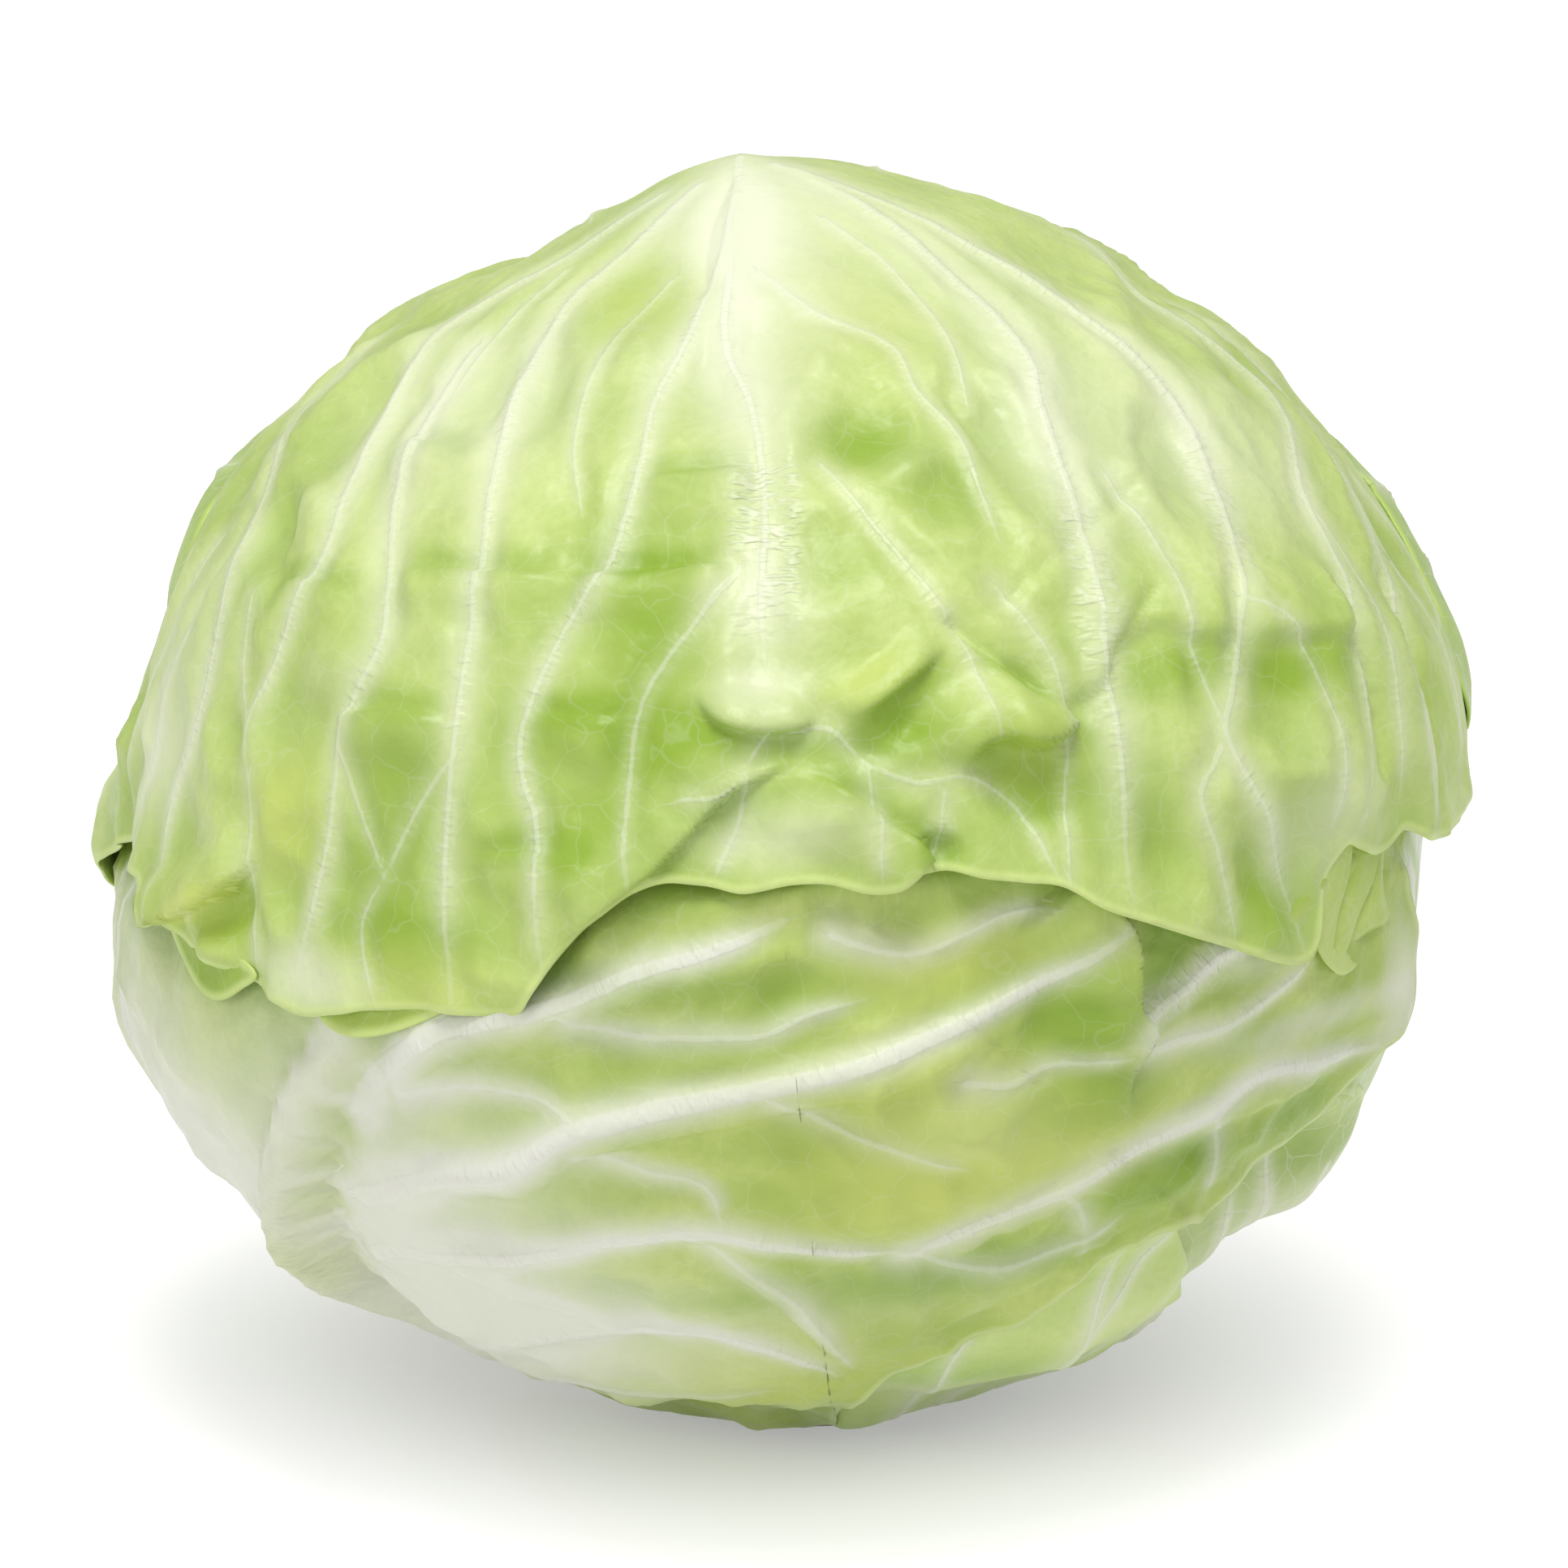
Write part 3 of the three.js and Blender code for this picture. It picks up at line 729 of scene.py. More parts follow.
    def wrinkle(self, path, strength, width, zone=(0, 1)):
        """Short wrinkles that cross a path, as the skin puckers along a vein."""
        index, side, gap, share, run = follow(self.towards, path, width + 2.5)
        other = self.pucker_gap[index]
        fade = ease(share, zone[0], zone[0] + 0.08) * ease(zone[1] - share, 0, 0.12)
        same = np.abs(gap - other) < 1e-6
        apart = np.maximum(ease(np.abs(gap - other), 2.2, 4.5), ease(gap, width, width + 2.5))
        apart = np.where(same, 1, apart)
        mask = strength * fade * (1 - ease(gap, 0.4 * width, width)) * apart
        mask = np.where(same, np.maximum(mask, self.pucker[index, 2]), mask)
        free = (gap < width) | (self.pucker[index, 2] < 0.02)
        closer = ((gap < other) & free) | same
        chosen = index[closer]
        self.pucker_gap[chosen] = gap[closer]
        self.pucker[chosen, 0] = run[closer]
        self.pucker[chosen, 1] = side[closer]
        self.pucker[chosen, 2] = mask[closer]
        self.pucker[index[~closer], 2] *= apart[~closer]

    def rib(self, path, width, rise, pale=1.0, flat=1.0):
        """A thick midrib that stands out of the blade; width and rise are given at each corner."""
        index, side, gap, share, run = follow(self.towards, path, max(width))
        at = np.linspace(0, 1, len(width))
        half = np.interp(share, at, width) / 2
        crown = np.clip(1 - (gap / half) ** 2, 0, 1) ** flat
        self.rise[index] += np.interp(share, at, rise) * crown * self.is_outer[index]
        glow = pale * (1 - ease(gap, 0.75 * half, 1.4 * half))
        self.flesh[index, 1] = np.maximum(self.flesh[index, 1], glow)

    def tuck(self, path, sink, blend=9.0, calm=0.0):
        """Presses the leaf smooth and in, on the left hand of a path, where another covers it, and
        paints shade there as deeper green. Calm is how far beyond the path it is smoothed."""
        index, side, gap, share, run = follow(self.towards, path)
        if calm:
            self.rise *= ease(side, 0.2 * calm, calm)
        hidden = ease(-side, -0.35 * blend, 0.65 * blend)
        self.rise *= 1 - 0.85 * hidden
        self.rise -= sink * hidden
        # Painted shade under the edge of the covering leaf.
        self.flesh[index, 0] += 0.8 * ease(-side, -4.5, 0.5)

    def shape(self):
        """The finished points of both faces, with a rounded edge between them. A hollow gets no
        deeper than the room under the leaf lets it."""
        thin = MARGIN_THICKNESS + (BLADE_THICKNESS - MARGIN_THICKNESS) * ease(self.edge, 0, 5)
        bed = -0.55 * self.room
        rise = np.where(self.rise < bed, bed + 0.3 * (self.rise - bed), self.rise)
        height = rise - self.depth
        height[self.outer_count :] -= thin[self.outer_count :]
        height[self.edge_ring] += MARGIN_THICKNESS / 2
        points = head_points(self.towards, height) + self.slip
        columns = self.columns
        last = points[self.outer_count - columns : self.outer_count]
        before = points[self.outer_count - 2 * columns : self.outer_count - columns]
        points[self.edge_ring] += unit(last - before) * MARGIN_THICKNESS * 0.4
        return points

    def attributes(self):
        """What the finish reads. The wrinkles are smoothed away where two veins' wrinkles meet."""
        sides = [(0, 1), (1, 2), (2, 3), (3, 0), (0, 2), (1, 3)]
        faces = [(*face, face[0])[:4] for face in ring_faces(self.starts, self.counts)]
        pairs = np.array(faces)[:, sides].reshape(-1, 2)
        jump = np.abs(np.diff(self.pucker[pairs, :2], axis=1)).max((1, 2)) > 4
        self.pucker[pairs[jump].ravel(), 2] = 0
        return {
            "vein": self.veins[0], "twig": self.veins[1], "pucker": self.pucker,
            "flesh": np.clip(self.flesh, 0, 1), "edge": self.edge,
        }


def leaf_piece(name, blades, finish):
    """One mesh from a blade and its small flaps, with the attributes that its finish reads."""
    points, faces, attributes, first = [], [], {}, 0
    for blade in blades:
        placed = blade.shape()
        starts = [first + s for s in blade.starts]
        faces += ring_faces(starts, blade.counts)
        for key, value in blade.attributes().items():
            attributes.setdefault(key, []).append(value)
        points.append(placed)
        first += len(placed)
    joined = {key: np.concatenate(parts) for key, parts in attributes.items()}
    return plain_mesh(name, np.vstack(points), faces, finish, joined)


def leaf_material(name, green, deep_and_shade, pale, gold, rim, vein, net=0.3, roughness=(0.34, 0.48)):
    """Living cabbage leaf: crisp flesh under a waxy skin, so it has a soft sheen. Its veins are
    nearly white, with a net of finer ones between, and its thin edge is paler, with painted light
    as if shining through it."""
    material = new_material(name)
    tree = material.node_tree
    place = add_node(tree, "ShaderNodeTexCoord").outputs["Object"]
    in_mm = add_node(tree, "ShaderNodeMapping", {"Vector": place, "Scale": [1 / MM] * 3}).outputs[0]

    # The net of veinlets: cells 7 mm across with wandering edges.
    wander = add_node(tree, "ShaderNodeTexNoise", {"Vector": in_mm, "Scale": 1 / 5, "Detail": 1.0})
    bent = add_node(
        tree, "ShaderNodeVectorMath", {0: wander.outputs["Color"], 1: (3.5, 3.5, 3.5), 2: in_mm},
        operation="MULTIPLY_ADD",
    )
    cells = add_node(
        tree, "ShaderNodeTexVoronoi", {"Vector": bent.outputs[0], "Scale": 1 / 7},
        feature="DISTANCE_TO_EDGE",
    )
    veinlets = add_node(
        tree, "ShaderNodeMapRange", {0: cells.outputs["Distance"], 1: 0.0, 2: 0.028, 3: 1.0, 4: 0.0},
        interpolation_type="SMOOTHSTEP",
    ).outputs[0]

    # The veins proper: each vector attribute holds the side, whether one is near, and its width.
    rough_edge = add_node(
        tree, "ShaderNodeTexNoise", {"Vector": in_mm, "Scale": 1 / 1.4, "Detail": 1.0}
    ).outputs["Fac"]
    cords = []
    for attribute in ("vein", "twig"):
        found = add_node(tree, "ShaderNodeAttribute", attribute_name=attribute).outputs["Vector"]
        field = add_node(tree, "ShaderNodeSeparateXYZ", {0: found}).outputs
        gap = add_node(tree, "ShaderNodeMath", {0: field["X"]}, operation="ABSOLUTE").outputs[0]
        worn = add_node(
            tree, "ShaderNodeMath", {0: rough_edge, 1: 0.5, 2: gap}, operation="MULTIPLY_ADD"
        ).outputs[0]
        inside = add_node(
            tree, "ShaderNodeMath", {0: field["Z"], 1: 0.1}, operation="ADD"
        ).outputs[0]
        outside = add_node(
            tree, "ShaderNodeMath", {0: field["Z"], 1: 1.2, 2: 0.45}, operation="MULTIPLY_ADD"
        ).outputs[0]
        cord = add_node(
            tree, "ShaderNodeMapRange", {0: worn, 1: inside, 2: outside, 3: 1.0, 4: 0.0},
            interpolation_type="SMOOTHSTEP",
        ).outputs[0]
        cords.append(add_node(
            tree, "ShaderNodeMath", {0: cord, 1: field["Y"]}, operation="MULTIPLY"
        ).outputs[0])
    cord = add_node(
        tree, "ShaderNodeMath", {0: cords[0], 1: cords[1]}, operation="MAXIMUM"
    ).outputs[0]

    # Puckers: short wrinkles 1 mm apart that cross the large veins like stitches.
    found = add_node(tree, "ShaderNodeAttribute", attribute_name="pucker").outputs["Vector"]
    field = add_node(tree, "ShaderNodeSeparateXYZ", {0: found}).outputs
    wrinkle_place = add_node(
        tree, "ShaderNodeMapping", {"Vector": found, "Scale": (1 / 1.1, 1 / 3.2, 0.0)}
    ).outputs[0]
    wrinkle = add_node(
        tree, "ShaderNodeTexNoise", {"Vector": wrinkle_place, "Scale": 1.0, "Detail": 1.0}
    ).outputs["Fac"]
    raised = add_node(
        tree, "ShaderNodeMapRange", {0: wrinkle, 1: 0.42, 2: 0.66, 3: 0.0, 4: 1.0},
        interpolation_type="SMOOTHSTEP",
    ).outputs[0]
    puckers = add_node(
        tree, "ShaderNodeMath", {0: raised, 1: field["Z"]}, operation="MULTIPLY"
    ).outputs[0]

    # Colour, from the flesh up to the veins and the edge.
    cloud = add_node(
        tree, "ShaderNodeTexNoise", {"Vector": in_mm, "Scale": 1 / 24, "Detail": 3.0, "Roughness": 0.6}
    ).outputs["Fac"]
    cloudy = add_node(
        tree, "ShaderNodeMapRange", {0: cloud, 1: 0.4, 2: 0.66, 3: 0.0, 4: 0.42}
    ).outputs[0]
    speckled = add_node(
        tree, "ShaderNodeMapRange", {0: rough_edge, 1: 0.4, 2: 0.75, 3: 0.0, 4: 0.16}
    ).outputs[0]
    found = add_node(tree, "ShaderNodeAttribute", attribute_name="flesh").outputs["Vector"]
    flesh = add_node(tree, "ShaderNodeSeparateXYZ", {0: found}).outputs
    edge = add_node(tree, "ShaderNodeAttribute", attribute_name="edge").outputs["Fac"]
    # The thin edge is paler, and painted brighter still as if lit through.
    edge_glow = add_node(
        tree, "ShaderNodeMapRange", {0: edge, 1: 0.3, 2: 1.5, 3: 0.7, 4: 0.0},
        interpolation_type="SMOOTHSTEP",
    ).outputs[0]
    net_share = add_node(
        tree, "ShaderNodeMath", {0: veinlets, 1: net}, operation="MULTIPLY"
    ).outputs[0]
    pucker_share = add_node(
        tree, "ShaderNodeMath", {0: puckers, 1: 0.4}, operation="MULTIPLY"
    ).outputs[0]
    colour = add_node(tree, "ShaderNodeRGB").outputs[0]
    colour.default_value = linear(green)
    # The deep share carries painted shade as well as the leaf's own deeper green, and the pale share some
    # painted light on bulges.
    for share, paint in (
        (cloudy, deep_and_shade), (flesh["X"], deep_and_shade), (speckled, deep_and_shade), (flesh["Z"], gold), (flesh["Y"], pale),
        (net_share, vein), (pucker_share, vein), (cord, vein), (edge_glow, rim),
    ):
        colour = add_node(
            tree, "ShaderNodeMix", {0: share, 6: colour, 7: linear(paint)}, data_type="RGBA"
        ).outputs[2]

    # Relief too fine for the mesh, as a height in millimetres.
    skin = add_node(
        tree, "ShaderNodeTexNoise", {"Vector": in_mm, "Scale": 1 / 3.5, "Detail": 2.0}
    ).outputs["Fac"]
    height = add_node(tree, "ShaderNodeMath", {0: skin, 1: 0.34}, operation="MULTIPLY").outputs[0]
    for part, rise in ((rough_edge, 0.09), (cord, 0.25), (puckers, 0.28)):
        height = add_node(
            tree, "ShaderNodeMath", {0: part, 1: rise, 2: height}, operation="MULTIPLY_ADD"
        ).outputs[0]
    bump = add_node(tree, "ShaderNodeBump", {"Height": height, "Distance": MM, "Strength": 0.9})
    gloss = add_node(
        tree, "ShaderNodeMapRange", {0: skin, 1: 0.3, 2: 0.7, 3: roughness[0], 4: roughness[1]}
    ).outputs[0]
    shader = add_node(
        tree, "ShaderNodeBsdfPrincipled",
        {"Base Color": colour, "Roughness": gloss, "IOR": 1.42, "Normal": bump.outputs[0]},
    )
    add_node(tree, "ShaderNodeOutputMaterial", {"Surface": shader.outputs[0]})
    return material


def branch_paths(midrib, shares, angle, length, bend):
    """Paths of side veins that leave a midrib by turns on each hand and bend towards its tip."""
    line = smooth_path(directions(midrib), step=2.0)
    ahead = unit(np.gradient(line, axis=0))
    stride = 6 / MEAN_RADIUS
    paths = []
    for share in shares:
        i = int(share * (len(line) - 1))
        for hand in (-1, 1):
            here = line[min(i + 3 * (hand > 0), len(line) - 1)]
            turn = np.radians(angle) * hand
            heading = np.cos(turn) * ahead[i] + np.sin(turn) * np.cross(ahead[i], here)
            points = [here]
            for _ in range(int(length * (1 - 0.35 * share) / 6)):
                sideways = np.cross(here, heading)
                heading = unit(heading + sideways * np.radians(bend) * hand * 0.4)
                here = unit(here + heading * stride)
                heading = unit(heading - here * (heading @ here))
                points.append(here)
            paths.append(np.array(points))
    return paths


lower_right = Blade(
    middle=(64, 136), depth=5.6, rows=90, columns=256, towards_front=1.0,
    outline=[
        (38, 132), (36, 148), (40, 162), (58, 168), (78, 167), (90, 158), (92, 144), (88, 133),
        (82, 126), (74, 120), (66, 115), (54, 110), (38, 118),
    ],
)
lower_right.ripple(34, 0.9, 41)
lower_right.ripple(12, 0.25, 42)
lower_right.swell((64, 128), 12, 9, 2.2)
lower_right.swell((52, 132), 9, 7, 1.6)
lower_right.rib([(62, 166), (64, 150), (66, 136), (68, 124)], (12, 8, 4, 2), (2.5, 1.8, 0.8, 0.2))
for branch in branch_paths([(62, 166), (64, 150), (66, 136), (68, 122)], (0.1, 0.4, 0.65), 38, 50, 8):
    lower_right.vein(branch, half=(0.7, 0.3), tent=0.7, spread=5, halo=3, pale=0.7)
lower_right.tint((64, 130), 20, 10, pale=0.4)
lower_right.tint((66, 122), 20, 5, deep_and_shade=0.5)
lower_right.tint((56, 119), 12, 4, deep_and_shade=0.7)
lower_right.tint((76, 134), 20, 14, pale=0.35)
lower_right.ruffle(8, 0.9, 22, 43)
lower_right_finish = leaf_material(
    "lower_right_leaf_skin", green="#cbdc8e", deep_and_shade="#95b44c", pale="#eef2d6", gold="#d4dd8c",
    rim="#d3e49b", vein="#eef1de",
)
piece = leaf_piece("lower_right_leaf_blade", [lower_right], lower_right_finish)
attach(piece, "root")
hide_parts("lower_right_leaf")


# ---------------------------------------------------------------------------------------------
# Left leaf: a pale blade that closes the left side, with long veins that rise from its base.
# It grows from the left of the stem and the front leaf's thick rib overlaps it.
# ---------------------------------------------------------------------------------------------

left = Blade(
    middle=(-106, 124), depth=4.4, rows=90, columns=256, towards_front=0.6,
    outline=[
        (-74, 88), (-100, 80), (-126, 84), (-142, 98), (-148, 122), (-146, 144), (-138, 160),
        (-120, 167), (-98, 167), (-84, 158), (-72, 142), (-64, 124), (-64, 106),
    ],
)
left_midrib = [(-108, 166), (-108, 150), (-106, 130), (-104, 110), (-102, 92)]
left.ripple(40, 0.9, 51)
left.ripple(13, 0.2, 52)
left.rib(left_midrib, (14, 11, 7, 4, 2), (3.0, 2.4, 1.4, 0.7, 0.3))
for branch in branch_paths(left_midrib, (0.05, 0.2, 0.38, 0.55, 0.72), 32, 62, 6):
    left.vein(branch, half=(0.8, 0.35), tent=0.9, spread=6, halo=3.5, pale=0.7)
left.tint((-104, 140), 60, 34, pale=0.7)
left.tint((-112, 100), 40, 20, deep_and_shade=0.35)
left.tuck([(-150, 96), (-126, 94), (-100, 93), (-76, 92), (-62, 93)], 1.6, blend=6)
left.ruffle(8, 0.7, 24, 53)
left_finish = leaf_material(
    "left_leaf_skin", green="#e6efcb", deep_and_shade="#bcd088", pale="#f6f7ee", gold="#dbe2a0",
    rim="#d8e6a8", vein="#edf0de",
)
piece = leaf_piece("left_leaf_blade", [left], left_finish)
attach(piece, "root")
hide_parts("left_leaf")


# ---------------------------------------------------------------------------------------------
# Right leaf: closes the right side between the front leaf and the right rear leaf. It is pale
# below, with long veins, and its front edge is crumpled under the cap leaf.
# ---------------------------------------------------------------------------------------------

right = Blade(
    middle=(92, 112), depth=3.9, rows=110, columns=320, towards_front=1.0,
    outline=[
        (48, 78), (44, 90), (46, 105), (54, 112), (61, 114), (67, 117), (73, 124), (79, 142),
        (84, 158), (96, 167), (114, 167), (128, 158), (136, 144), (141, 124), (138, 104), (124, 88),
        (104, 77), (84, 71), (65, 72),
    ],
)
right_midrib = [(104, 166), (102, 150), (96, 130), (88, 112), (80, 96), (74, 84)]
right.ripple(36, 0.9, 61)
right.ripple(12, 0.25, 62)
right.rib(right_midrib, (14, 12, 8, 5, 3, 2), (3.0, 2.4, 1.5, 0.9, 0.5, 0.2))
for branch in branch_paths(right_midrib, (0.05, 0.2, 0.36, 0.52, 0.68, 0.84), 36, 60, 6):
    right.vein(branch, half=(0.8, 0.35), tent=0.9, spread=6, halo=3.2, pale=0.7)
right.tint((92, 130), 46, 34, pale=0.6)
right.tint((70, 104), 16, 16, pale=0.35)
right.tint((60, 110), 20, 14, deep_and_shade=0.5)
right.tuck([(150, 92), (128, 94), (104, 93), (84, 88), (66, 87), (52, 86), (40, 86)], 1.6)
right.ruffle(8, 0.9, 22, 63)
right_finish = leaf_material(
    "right_leaf_skin", green="#e8f5b6", deep_and_shade="#acc966", pale="#f8faec", gold="#d8e08e",
    rim="#d6e79c", vein="#eef1df",
)
piece = leaf_piece("right_leaf_blade", [right], right_finish)
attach(piece, "root")
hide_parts("right_leaf")


# ---------------------------------------------------------------------------------------------
# Bottom front leaf: shows as a strip below the front leaf's free edge, bright green, with two
# long veins that cross it. It grows from the front of the stem.
# ---------------------------------------------------------------------------------------------

bottom = Blade(
    middle=(4, 138), depth=4.0, rows=100, columns=320, towards_front=0.5,
    outline=[
        (-50, 140), (-42, 156), (-32, 166), (-10, 168), (14, 168), (34, 166), (50, 158), (58, 146),
        (54, 138), (50, 134), (47, 130), (44, 126), (42, 121), (36, 118), (24, 118), (-2, 120),
        (-30, 124), (-48, 132),
    ],
)
bottom.ripple(30, 0.8, 71)
bottom.ripple(12, 0.2, 72)
bottom.vein([(34, 162), (35, 145), (33, 134), (33, 128), (35, 124)], tent=1.0, spread=6, pale=0.8)
bottom.vein([(33, 140), (34, 132), (38, 128), (44, 125)], half=(0.5, 0.3), tent=0.7, pale=0.7, layer=1)
bottom.vein([(20, 162), (18, 150), (16, 138), (18, 126)], half=(0.6, 0.3), tent=0.8, pale=0.6)
bottom.vein([(46, 158), (46, 146), (44, 138), (46, 130)], half=(0.5, 0.3), tent=0.6, pale=0.5)
bottom.tint((20, 140), 16, 8, deep_and_shade=0.7)
bottom.tint((40, 136), 14, 10, gold=0.5)
bottom.tint((-6, 150), 30, 12, gold=0.5, pale=0.2)
bottom.swell((38, 132), 12, 8, 1.6)
bottom.ruffle(6, 0.8, 18, 73)
bottom.tuck([(-2, 168), (0, 156), (2, 147), (4, 141), (8, 137), (13, 134), (20, 129), (28, 123),
             (36, 118), (50, 112)], 3.2, blend=7)
bottom_finish = leaf_material(
    "bottom_front_leaf_skin", green="#dcee98", deep_and_shade="#a8c856", pale="#f2f7d8", gold="#e0ee90",
    rim="#d8e89c", vein="#f2f5e2", net=0.1,
)
piece = leaf_piece("bottom_front_leaf_blade", [bottom], bottom_finish)
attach(piece, "root")
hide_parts("bottom_front_leaf")


# ---------------------------------------------------------------------------------------------
# Front leaf: wraps the whole front from a thick white midrib at the lower left. Its side veins
# fan out to the right from the rib, and a pleat runs down near its right edge.
# ---------------------------------------------------------------------------------------------

front = Blade(
    middle=(0, 78), depth=2.3, rows=170, columns=480, towards_front=2.0, room=2.0,
    outline=[
        (0, 166), (2, 156), (3.5, 148), (5, 141), (8, 137), (13, 134),
        (20, 130), (28, 124), (34, 120), (38, 119), (42, 121), (46, 117), (52, 116), (56, 115),
        (59, 110), (64, 106), (65, 101), (63, 94), (60, 84), (50, 77), (26, 72), (0, 70), (-26, 70),
        (-55, 72), (-84, 78), (-108, 86), (-120, 98), (-122, 114), (-112, 132), (-98, 148),
        (-88, 160), (-70, 168), (-50, 168), (-24, 168),
    ],
)
front_midrib = [(-50, 146), (-54, 139), (-57, 132), (-57.5, 126.5), (-55.5, 121.5), (-53.5, 117),
                (-51, 112.5), (-48.3, 108), (-45.6, 104), (-42.6, 100), (-40, 96.5), (-37.5, 92)]
front.ripple(46, 0.8, 81)
front.ripple(20, 0.4, 82)
front.ripple(9, 0.2, 83)
front.wrinkle([(30, 98.5), (32, 97), (34, 96), (37, 94), (41, 93)], 0.5, 4)
for path, half, tent, spread in (
    ([(-39, 102), (-37, 99.5), (-33, 96.5), (-28, 93.5), (-24, 92.5), (-18, 91), (-12, 88.5),
      (-6, 87), (0, 85)], (1.5, 0.5), 1.6, 6),
    ([(-43, 112), (-39, 110.5), (-31, 107), (-24, 105), (-18, 101.5), (-12, 100), (-7, 99),
      (-2, 98), (4, 97), (12, 95), (22, 92), (28, 89)], (1.6, 0.6), 2.2, 6.5),
    ([(-46.5, 119), (-42, 118), (-31, 116), (-24, 114.5), (-17, 112.5), (-12, 112), (-8, 112),
      (-2, 113.5), (4, 115.5), (10, 117)], (1.3, 0.4), 1.7, 6),
    ([(-47, 132), (-34, 128), (-25, 126), (-17, 124), (-12, 125), (-6, 127.5), (-1, 131), (2, 135)],
     (1.1, 0.4), 1.5, 6),
    ([(9, 117), (17, 114), (23, 112), (28, 110), (32, 109), (38, 108), (43, 106), (50, 107), (60, 108)],
     (0.9, 0.5), 1.6, 5),
):
    front.vein(path, half=half, rise=0.5, tent=tent, spread=spread, halo=3.8, pale=0.9, line=0.4,
               pucker=0.4)
for path in (
    [(-34, 100), (-26, 98.5), (-22, 99), (-19, 100), (-16, 101.5)],
    [(-18, 104), (-13, 106), (-8, 108), (-7, 111)],
    [(-10, 112), (-6, 116), (-2, 120), (0, 124), (2, 128), (4, 134)],
    [(-18, 92.5), (-12, 94), (-6, 94), (-2, 94), (2, 92.5), (6, 92)],
    [(4, 86.5), (6, 87.5), (9, 88.5), (12, 88.5), (15, 87.5), (18, 86.5), (22, 86.5)],
    [(14, 100), (18, 101), (21, 100), (24, 100), (28, 100)],
    [(-2, 99), (2, 102), (8, 105), (14, 108)],
    [(-38, 117), (-30, 121), (-20, 124), (-10, 124)],
    [(23, 112), (26, 116), (27, 121)],
    [(38, 108), (40, 112), (40, 117)],
    [(10, 117), (16, 120), (22, 120), (30, 117)],
    [(-50, 138), (-36, 137), (-20, 137), (-6, 137)],
):
    front.vein(path, half=(0.5, 0.25), rise=0.25, tent=0.7, spread=5, halo=3.0, pale=0.6,
               line=0.25, layer=1, pucker=0.1)
front.vein([(30, 98.5), (32, 97), (34, 96), (37, 94), (41, 93)], half=(0.8, 0.5), rise=0.4,
           tent=1.2, spread=5, halo=3.5, pale=0.8, line=0.3, pucker=0)
front.vein([(30, 101), (34, 100.5), (39, 100.5), (43, 99), (48, 97)], half=(0.6, 0.4),
           tent=1.0, spread=5, halo=3, pale=0.7, line=0.3)
for azimuth in (-74, -82, -90, -98):
    front.vein(
        [(azimuth + 12, 150), (azimuth + 3, 132), (azimuth - 2, 116), (azimuth - 4, 100),
         (azimuth - 4, 88)],
        half=(0.5, 0.3), tent=0.7, spread=7, halo=3.5, pale=0.6,
    )
front.crumple(30, 1.4, 85)
front.crumple(15, 0.8, 86)
front.crumple(8, 0.25, 87)
for place, across, along, shades in (
    ((-42, 118), 36, 40, {"pale": 0.9}), ((-80, 130), 50, 36, {"pale": 0.6}),
    ((-28, 128), 40, 16, {"pale": 0.5}), ((-10, 138), 30, 7, {"gold": 0.5, "deep_and_shade": 0.2}),
):
    front.tint(place, across, along, **shades)
for place, across, along, deep_and_shade in (
    ((-5, 95.5), 15, 4, 0.5), ((1, 90), 12, 5, 0.5), ((13, 92.5), 12, 5, 0.35), ((-14, 89.5), 14, 3, 0.6),
    ((4, 103.5), 15, 5, 0.7), ((2, 109), 13, 4, 0.6), ((25, 95), 8, 8, 0.6), ((22, 97), 8, 5, 0.6),
    ((23, 103.5), 14, 6, 1.0), ((6, 121), 10, 6, 0.6), ((15, 120), 12, 6, 0.7), ((35, 113), 11, 5, 0.9),
    ((30, 114), 8, 5, 0.6), ((26, 120), 10, 4, 0.6), ((34, 92), 7, 4, 0.5), ((40, 97), 9, 4, 0.35),
    ((42, 102), 10, 4, 0.5), ((54, 100), 9, 6, 0.5), ((50, 112), 10, 4, 0.6), ((-3, 118), 8, 5, 0.4),
    ((-7, 121), 8, 3, 0.5), ((10, 129), 14, 5, 0.6), ((-16, 108), 12, 3, 0.3),
):
    front.tint(place, across, along, deep_and_shade=deep_and_shade)
for place, across, along, shades in (
    ((16, 108), 26, 14, {"gold": 0.6}), ((7, 110), 20, 10, {"gold": 0.4, "deep_and_shade": 0.3}),
    ((27, 104), 10, 6, {"deep_and_shade": 0.5}), ((13, 90), 16, 6, {"gold": 0.5}),
    ((8, 106), 14, 6, {"deep_and_shade": 0.3}), ((42, 95), 10, 4, {"pale": 0.4}),
    ((2, 129), 30, 10, {"gold": 0.4}), ((-17, 132), 24, 8, {"gold": 0.35}),
    ((-17, 121), 14, 8, {"deep_and_shade": 0.12}), ((30, 114), 20, 8, {"deep_and_shade": 0.3}),
    ((6, 100), 26, 10, {"gold": 0.4}),
):
    front.tint(place, across, along, **shades)
for place, across, along, rise in (
    ((14, 104), 14, 6, 1.2), ((10, 124), 20, 9, 1.0), ((24, 117), 16, 6, -1.0),
    ((-30, 134), 30, 8, 1.2),
):
    front.swell(place, across, along, rise)
